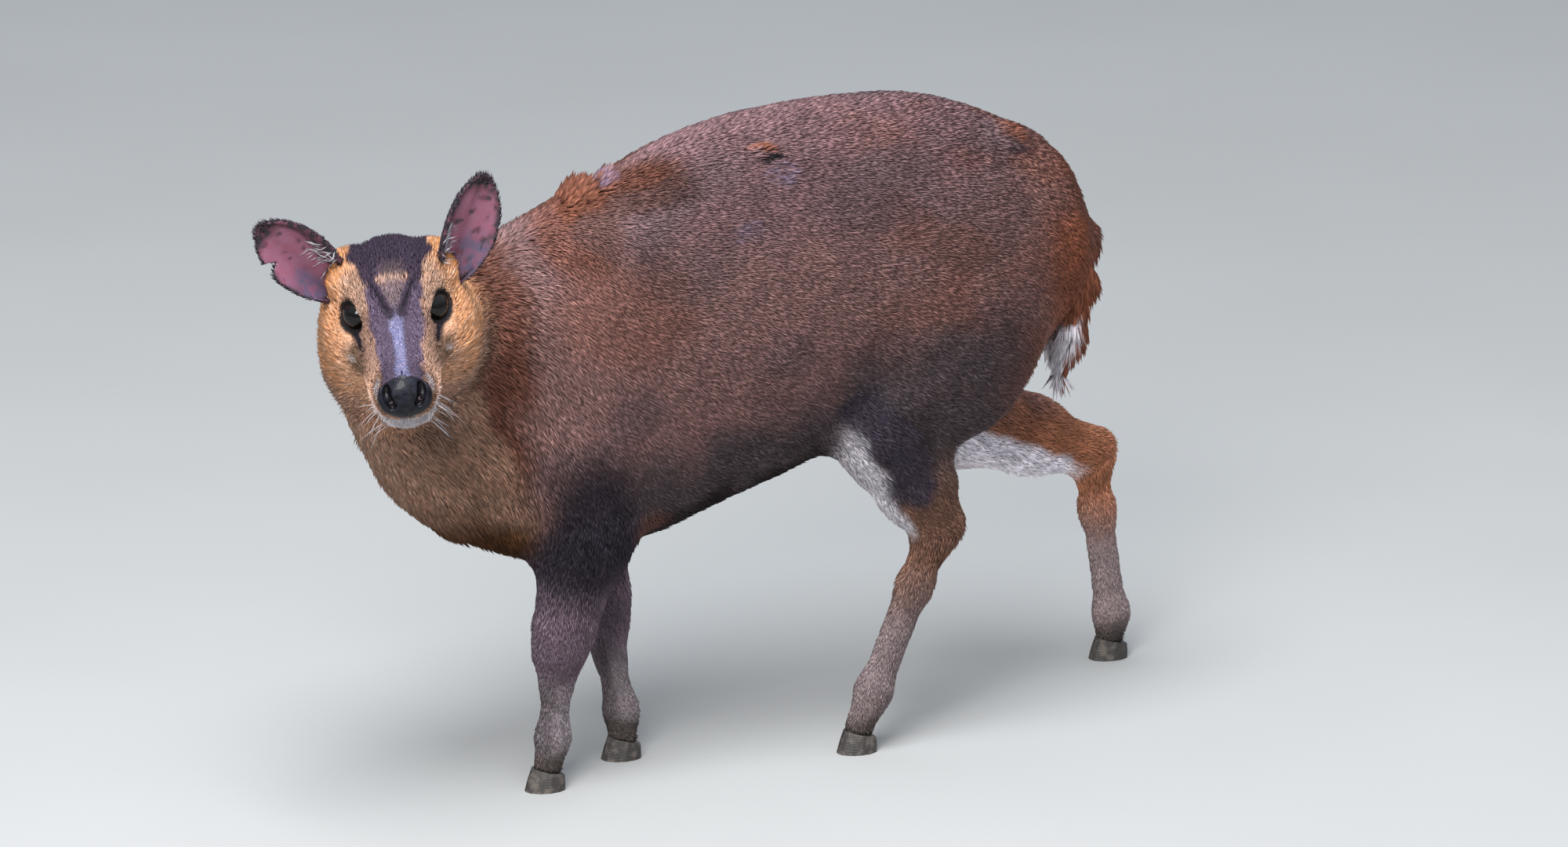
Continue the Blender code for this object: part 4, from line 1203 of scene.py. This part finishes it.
# %% The pad's finish
def nose_finish():
    finish = Finish("nose pad", Coat_Weight=0.12, Coat_Roughness=0.10, IOR=1.40, Specular_IOR_Level=0.15)
    place_on = finish.node("TexCoord", output=3)
    pebbles = finish.node("TexVoronoi", {"feature": "F1"}, {"Vector": place_on, "Scale": 1 / 0.0011})
    wear = finish.noise(0.004)
    colour = finish.mix(wear.between(0.3, 0.7), (0.004, 0.004, 0.006, 1), (0.011, 0.011, 0.017, 1))
    # Painted shade: the nostrils' hollows are painted darker, for the shade inside them.
    colour = finish.mix(finish.attribute("hollow").between(0.3, 0.9), colour, (0.002, 0.001, 0.001, 1))
    bump = finish.bump(1 - pebbles, 0.00022, 0.7)
    return finish.surface(Base_Color=colour, Roughness=0.24 + 0.22 * wear, Normal=bump)


nose.data.materials.append(nose_finish())
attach(nose, "root")
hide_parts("nose")
print("nose pad:", len(nose.data.polygons), "faces")

# %% [markdown]
# ## Ears
# The ear solids are thin curled leaves. Divided and smoothed, they get the colours of the real
# ones: pink skin inside with dark blotches and a dark rim, and short dark hair behind. Long pale
# hairs grow from the inner edge and the base.

# %% Ear shells
EAR_BASES = {"left": (-0.034, 0.0365, -0.003), "right": (-0.036, -0.0400, -0.004)}
EAR_TIPS = {"left": (-0.020, 0.032, 0.064), "right": (0.000, -0.041, 0.057)}
EAR_OPENINGS = {"left": (0.890, 0.380, 0.170), "right": (0.885, 0.390, 0.255)}
EAR_LENGTH = 0.084
# Places along the ear and its half width there, both as shares of its length.
EAR_SPREAD = (
    (0.00, 0.13, 0.27, 0.42, 0.56, 0.70, 0.82, 0.91, 1.00),
    (0.10, 0.18, 0.24, 0.28, 0.28, 0.26, 0.21, 0.15, 0.03),
)


class EarFrame:
    """Coordinates on an ear: how far along it, how far across, and how far towards its opening."""

    def __init__(self, name):
        self.base = on_head(*EAR_BASES[name])
        along = unit(np.array(EAR_TIPS[name])) @ HEAD_ROWS
        opening = np.array(EAR_OPENINGS[name]) @ HEAD_ROWS
        opening = unit(opening - along * (along @ opening))
        self.rows = np.array((along, np.cross(along, opening), opening))
        self.medial = -SIDES[name]

    def local(self, points):
        """Share along, share of the half width across towards the middle of the head, and lift."""
        s, t, w = ((points - self.base) @ self.rows.T / EAR_LENGTH).T
        return s, t * self.medial / np.interp(s, *EAR_SPREAD), w

    def way(self, along, across, lift):
        return np.array((along, across * self.medial, lift)) @ self.rows


def ear_finish():
    finish = Finish("ear skin", Roughness=0.5, Specular_IOR_Level=0.3)
    colour = finish.attribute("coat_colour", 0)
    veins = finish.noise(0.006, 4.0)
    shaded = finish.mix(veins.between(0.42, 0.62) * 0.45, colour, (0.20, 0.055, 0.085, 1))
    tinted = finish.mix(finish.attribute("inside"), colour, shaded)
    return finish.surface(Base_Color=tinted, Normal=finish.bump(veins, 0.0005, 0.6))


PINK = np.array((0.200, 0.078, 0.120))
MAUVE = np.array((0.078, 0.058, 0.100))
EAR_DARK = np.array((0.024, 0.018, 0.024))


def ear_colour(points, normals, ear_frame):
    """Pink inside with dark blotches, mauve in the lower lobe, dark rim, tip and back."""
    s, q, _ = ear_frame.local(points)
    inside = smooth(normals @ ear_frame.rows[2], 0.05, 0.30)
    wave = 0.10 * ripple(points, 0.02, 31)
    lobe = smooth(q + wave, 0.10, -0.35) * smooth(s, 0.55, 0.35)
    inner = mixed(np.tile(PINK, (len(s), 1)), MAUVE, lobe)
    inner = mixed(inner, EAR_DARK, 0.9 * smooth(ripple(points, 0.009, 33), 0.42, 0.62))
    inner = mixed(inner, EAR_DARK, smooth(q + wave, 0.48, 0.72))
    inner = mixed(inner, EAR_DARK, smooth(-q + wave, 0.70, 0.88))
    inner = mixed(inner, EAR_DARK, smooth(s + 0.5 * wave, 0.80, 0.92))
    return mixed(np.tile(EAR_DARK, (len(s), 1)), inner, inside), inside


EAR_FINISH = ear_finish()
ears = {}
for name in SIDES:
    ear = new_object(f"ear_shell_{name}", welded([f"ear_{name}"]))
    subdivided(ear, 2)
    ear_points, ear_normals = places_of(ear.data), normals_of(ear.data)
    colour, inside = ear_colour(ear_points, ear_normals, EarFrame(name))
    ridges = 0.0007 * inside * np.sin(EarFrame(name).local(ear_points)[1] * 9.0)
    place(ear.data, ear_points + ear_normals * ridges[:, None])
    paint_points(ear.data, colour)
    store(ear.data, "inside", inside)
    ear.data.shade_smooth()
    ear.data.materials.append(EAR_FINISH)
    unwrap(ear)
    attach(ear, "root")
    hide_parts(f"ear_{name}")
    ears[name] = ear
    print(ear.name, len(ear.data.polygons), "faces")

# %% Hair of the ears
EAR_HAIR_SPACING = 0.0013


def ear_hair(name, ear):
    """Short hair on the back and rim, and long white hair inside the edge nearer the crown."""
    ear_ground, ear_frame = Ground(ear), EarFrame(name)
    spacing = np.full(len(ear_ground.area), EAR_HAIR_SPACING)
    at_root, at_normal, at_flat = ear_ground.sow(spacing, 301)
    s, q, _ = ear_frame.local(at_root)
    colour, inside = ear_colour(at_root, at_normal, ear_frame)
    draw = np.random.default_rng(302)
    white = (inside > 0.5) & (q > 0.40) & (q < 0.95) & (s < 0.50) & (draw.random(len(s)) < 0.20)
    short = (inside < 0.5) | (np.abs(q) > 0.86) | (s > 0.90)
    keep = (white | short) & (s > 0.03)
    at_root, at_normal, at_flat, s, q, white = (a[keep] for a in (at_root, at_normal, at_flat, s, q, white))
    colour = np.where(white[:, None], WHITE * 0.75, colour[keep] * 1.3)
    length = np.where(white, 0.0110, 0.0042) * draw.uniform(0.6, 1.25, len(s))
    width = np.where(white, 0.00030, 0.00065) * draw.uniform(0.8, 1.2, len(s))
    lift = np.radians(np.where(white, 13, 16)) * draw.uniform(0.6, 1.4, len(s))
    way = np.where(white[:, None], ear_frame.way(0.45, -1.0, 0.1), ear_frame.way(1.0, 0.0, 0.0))
    way = way + draw.normal(0, 0.16, (len(s), 3))
    way = unit(way - at_normal * (way * at_normal).sum(1, keepdims=True))
    made = tuft_object(
        f"ear_hair_{name}", tuft_arrays(at_root, at_normal, way, length, width, lift), TUFT_FACES, TUFT_FLAT,
        TUFT_ALONG, colour, draw.random(len(s)) * 0.4, at_flat, COAT,
    )
    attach(made, "root")
    print(made.name, len(s), "tufts")


for name, ear in ears.items():
    ear_hair(name, ear)

# %% [markdown]
# ## Lashes and whiskers
# Lashes fan out from the upper lid, and a few stiff pale whiskers stand on the upper lip and
# the chin. Each is a thin cone that bends a little, made of rings of three points.

# %% Bent hairs
STRAND_STEPS = 5


def strand_arrays(roots, ways, bends, lengths, width):
    """Rings of three corners along each hair, and one at its tip."""
    shares = np.linspace(0, 1, STRAND_STEPS)
    rings = []
    side = unit(np.cross(ways, bends))
    other = np.cross(ways, side)
    for share in shares[:-1]:
        middle = roots + lengths[:, None] * (ways * share + bends * 0.35 * share**2)
        for turn in (0, 2 * math.pi / 3, 4 * math.pi / 3):
            rings.append(middle + (side * math.cos(turn) + other * math.sin(turn)) * width / 2 * (1 - 0.8 * share))
    rings.append(roots + lengths[:, None] * (ways + bends * 0.35))
    return np.stack(rings, 1)


def strand_faces():
    """Triangles that close one bent hair, with its root's ring first."""
    faces = [(0, 2, 1)]
    last = 3 * (STRAND_STEPS - 1)
    for ring in range(0, last, 3):
        for i in range(3):
            a, b = ring + i, ring + (i + 1) % 3
            if ring + 3 < last:
                faces += [(a, b, b + 3), (a, b + 3, a + 3)]
            else:
                faces.append((a, b, last))
    return np.array(faces)


def strands(name, roots, ways, bends, lengths, width, colour):
    """A piece of bent hairs, which share one colour."""
    corners = strand_arrays(roots, unit(ways), bends, lengths, width)
    along = np.append(np.repeat(np.linspace(0.4, 0.9, STRAND_STEPS - 1), 3), 1.0)
    up_patch = np.repeat(np.linspace(-0.5, 0.3, STRAND_STEPS - 1), 3)
    flat = np.c_[np.tile((-0.5, 0.0, 0.5), STRAND_STEPS - 1), up_patch]
    flat = np.vstack([flat, (0.0, 0.5)])
    number = len(roots)
    across = math.ceil(math.sqrt(number))
    spots = (np.c_[np.arange(number) % across, np.arange(number) // across] + 0.5) / across
    made = tuft_object(
        name, corners, strand_faces(), flat, along, np.tile(colour, (number, 1)), np.zeros(number), spots, COAT
    )
    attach(made, "root")
    print(name, number, "hairs")


# %% Lashes
LASHES = 22
LASH_LENGTH, LASH_WIDTH = 0.0090, 0.00060
draw = np.random.default_rng(401)
for name, side in SIDES.items():
    centre, rows = eye_frame(side)
    around = np.linspace(math.radians(18), math.radians(150), LASHES) + draw.normal(0, 0.03, LASHES)
    # Angle 0 points to the nose, 90 degrees to the crown.
    up = 1 if rows[2] @ np.array(CROWN) > 0 else -1
    off = np.c_[np.cos(around) * EYE_STRETCH, np.sin(around) * up] * EYE_OPENING * 1.10
    outward = unit(off @ rows[1:])
    root = centre + unit(off @ rows[1:] + rows[0] * 0.0090) * (EYE_RADIUS + LID_HEIGHT * 0.7)
    lengths = LASH_LENGTH * draw.uniform(0.7, 1.15, LASHES)
    strands(f"lashes_{name}", root, rows[0] * 0.45 + outward, outward * 0.6, lengths, LASH_WIDTH, BLACK)

# %% Whiskers
WHISKERS = 14
WHISKER_LENGTH, WHISKER_WIDTH = 0.021, 0.00042
for name, side in SIDES.items():
    low = draw.random((2, WHISKERS))[1] < 0.5
    root = np.where(low[:, None], (0.062, 0.0130 * side, -0.0440), (0.068, 0.0185 * side, -0.0240))
    root = root + draw.normal(0, 0.0028, (WHISKERS, 3))
    way = np.array((0.25, 0.9 * side, -0.35)) + draw.normal(0, 0.28, (WHISKERS, 3))
    lengths = WHISKER_LENGTH * draw.uniform(0.5, 1.1, WHISKERS)
    bend = np.tile(np.array((0.1, 0.2 * side, -1.0)) @ HEAD_ROWS, (WHISKERS, 1))
    root = HEAD_AT + root @ HEAD_ROWS
    strands(f"whiskers_{name}", root, way @ HEAD_ROWS, bend, lengths, WHISKER_WIDTH, WHITE)

# %% [markdown]
# ## Hooves
# The claws keep their solids. A bevel rounds their edges, and a horn finish with fine growth
# lines and dried mud makes them real.

# %% Horn
def horn_finish():
    finish = Finish("horn")
    place_on = finish.node("TexCoord", output=3)
    rings = finish.node(
        "TexWave", {"bands_direction": "Z"}, {"Vector": place_on, "Scale": 260.0, "Distortion": 2.5, "Detail": 2.0}
    )
    mud = finish.noise(0.006, 4.0)
    horn = finish.mix(rings, (0.020, 0.017, 0.016, 1), (0.045, 0.037, 0.033, 1))
    colour = finish.mix(mud.between(0.45, 0.65), horn, (0.095, 0.078, 0.066, 1))
    return finish.surface(
        Base_Color=colour, Roughness=0.45 + 0.3 * mud, Normal=finish.bump(rings + mud, 0.0003, 0.6)
    )


HORN = horn_finish()
for name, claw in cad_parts.items():
    if name.startswith("hoof_"):
        bevel = claw.modifiers.new("rounded", "BEVEL")
        bevel.width, bevel.segments = 0.0012, 3
        claw.data.materials.clear()
        claw.data.materials.append(HORN)
print("hooves: horn finish on the claws")

# %% [markdown]
# ## Light, floor and camera
# The photograph has the soft light of an overcast sky. A cool panel above, one from the
# camera's side and a world that is brighter above than at the horizon give the same on a plain
# floor.

# %% Floor
def floor_finish():
    finish = Finish("floor", Roughness=0.85)
    tint = finish.noise(0.4)
    return finish.surface(Base_Color=finish.mix(tint, (0.34, 0.335, 0.325, 1), (0.38, 0.375, 0.365, 1)))


bm = bmesh.new()
bmesh.ops.create_grid(bm, x_segments=1, y_segments=1, size=6.0)
floor = new_object("floor", bm)
floor.data.materials.append(floor_finish())
floor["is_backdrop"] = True

# %% Lights
def panel(name, place_at, aim, size, watts, colour):
    light = bpy.data.lights.new(name, "AREA")
    light.shape, light.size, light.energy, light.color = "DISK", size, watts, colour
    obj = bpy.data.objects.new(name, light)
    obj.location = place_at
    obj.rotation_euler = (Vector(aim) - Vector(place_at)).to_track_quat("-Z", "Y").to_euler()
    bpy.context.scene.collection.objects.link(obj)


TARGET = Vector(at(0.0287, 0.0, 0.2451))
panel("sky panel", (-0.6, -0.9, 2.6), TARGET, 1.4, 96, (0.92, 0.96, 1.0))
panel("front panel", (-1.7, -2.4, 2.0), TARGET, 1.4, 92, (1.0, 0.98, 0.95))


def sky(name, zenith, horizon, strength):
    """A world that is bright above and dim at the horizon, as under an overcast sky among hedges."""
    world = bpy.data.worlds.new(name)
    world.use_nodes = True
    nodes, links = world.node_tree.nodes, world.node_tree.links
    spread = nodes.new("ShaderNodeValToRGB")
    spread.color_ramp.elements[0].position, spread.color_ramp.elements[0].color = 0.0, (*horizon, 1)
    spread.color_ramp.elements[1].position, spread.color_ramp.elements[1].color = 0.6, (*zenith, 1)
    parts = nodes.new("ShaderNodeSeparateXYZ")
    links.new(nodes.new("ShaderNodeTexCoord").outputs["Generated"], parts.inputs[0])
    links.new(parts.outputs["Z"], spread.inputs[0])
    links.new(spread.outputs[0], nodes["Background"].inputs["Color"])
    nodes["Background"].inputs["Strength"].default_value = strength
    return world


bpy.context.scene.world = sky("overcast sky", (0.82, 0.90, 1.0), (0.30, 0.31, 0.32), 1.0)

bpy.context.scene.view_settings.view_transform = "Standard"

# %% Camera
VIEW_TURN = -22.0           # degrees from straight at her left side, towards her head
VIEW_HEIGHT = 16.0          # degrees above level
VIEW_DISTANCE = 7.0
PIXELS_A_METRE = 1735.0     # at the target, in a picture 2000 wide
SENSOR = 36.0

turn, height = math.radians(VIEW_TURN), math.radians(VIEW_HEIGHT)
back = Vector((math.sin(turn) * math.cos(height), -math.cos(turn) * math.cos(height), math.sin(height)))
camera = bpy.data.objects.new("camera", bpy.data.cameras.new("camera"))
camera.data.sensor_width = SENSOR
camera.data.lens = SENSOR * VIEW_DISTANCE * PIXELS_A_METRE / 2000
camera.location = TARGET + back * VIEW_DISTANCE
camera.rotation_euler = back.to_track_quat("Z", "Y").to_euler()
bpy.context.scene.collection.objects.link(camera)
bpy.context.scene.camera = camera
print("camera:", round(camera.data.lens, 1), "mm")

# %% Sizes, and the end
low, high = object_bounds()
print("dressed, she reaches from", tuple(low), "to", tuple(high))
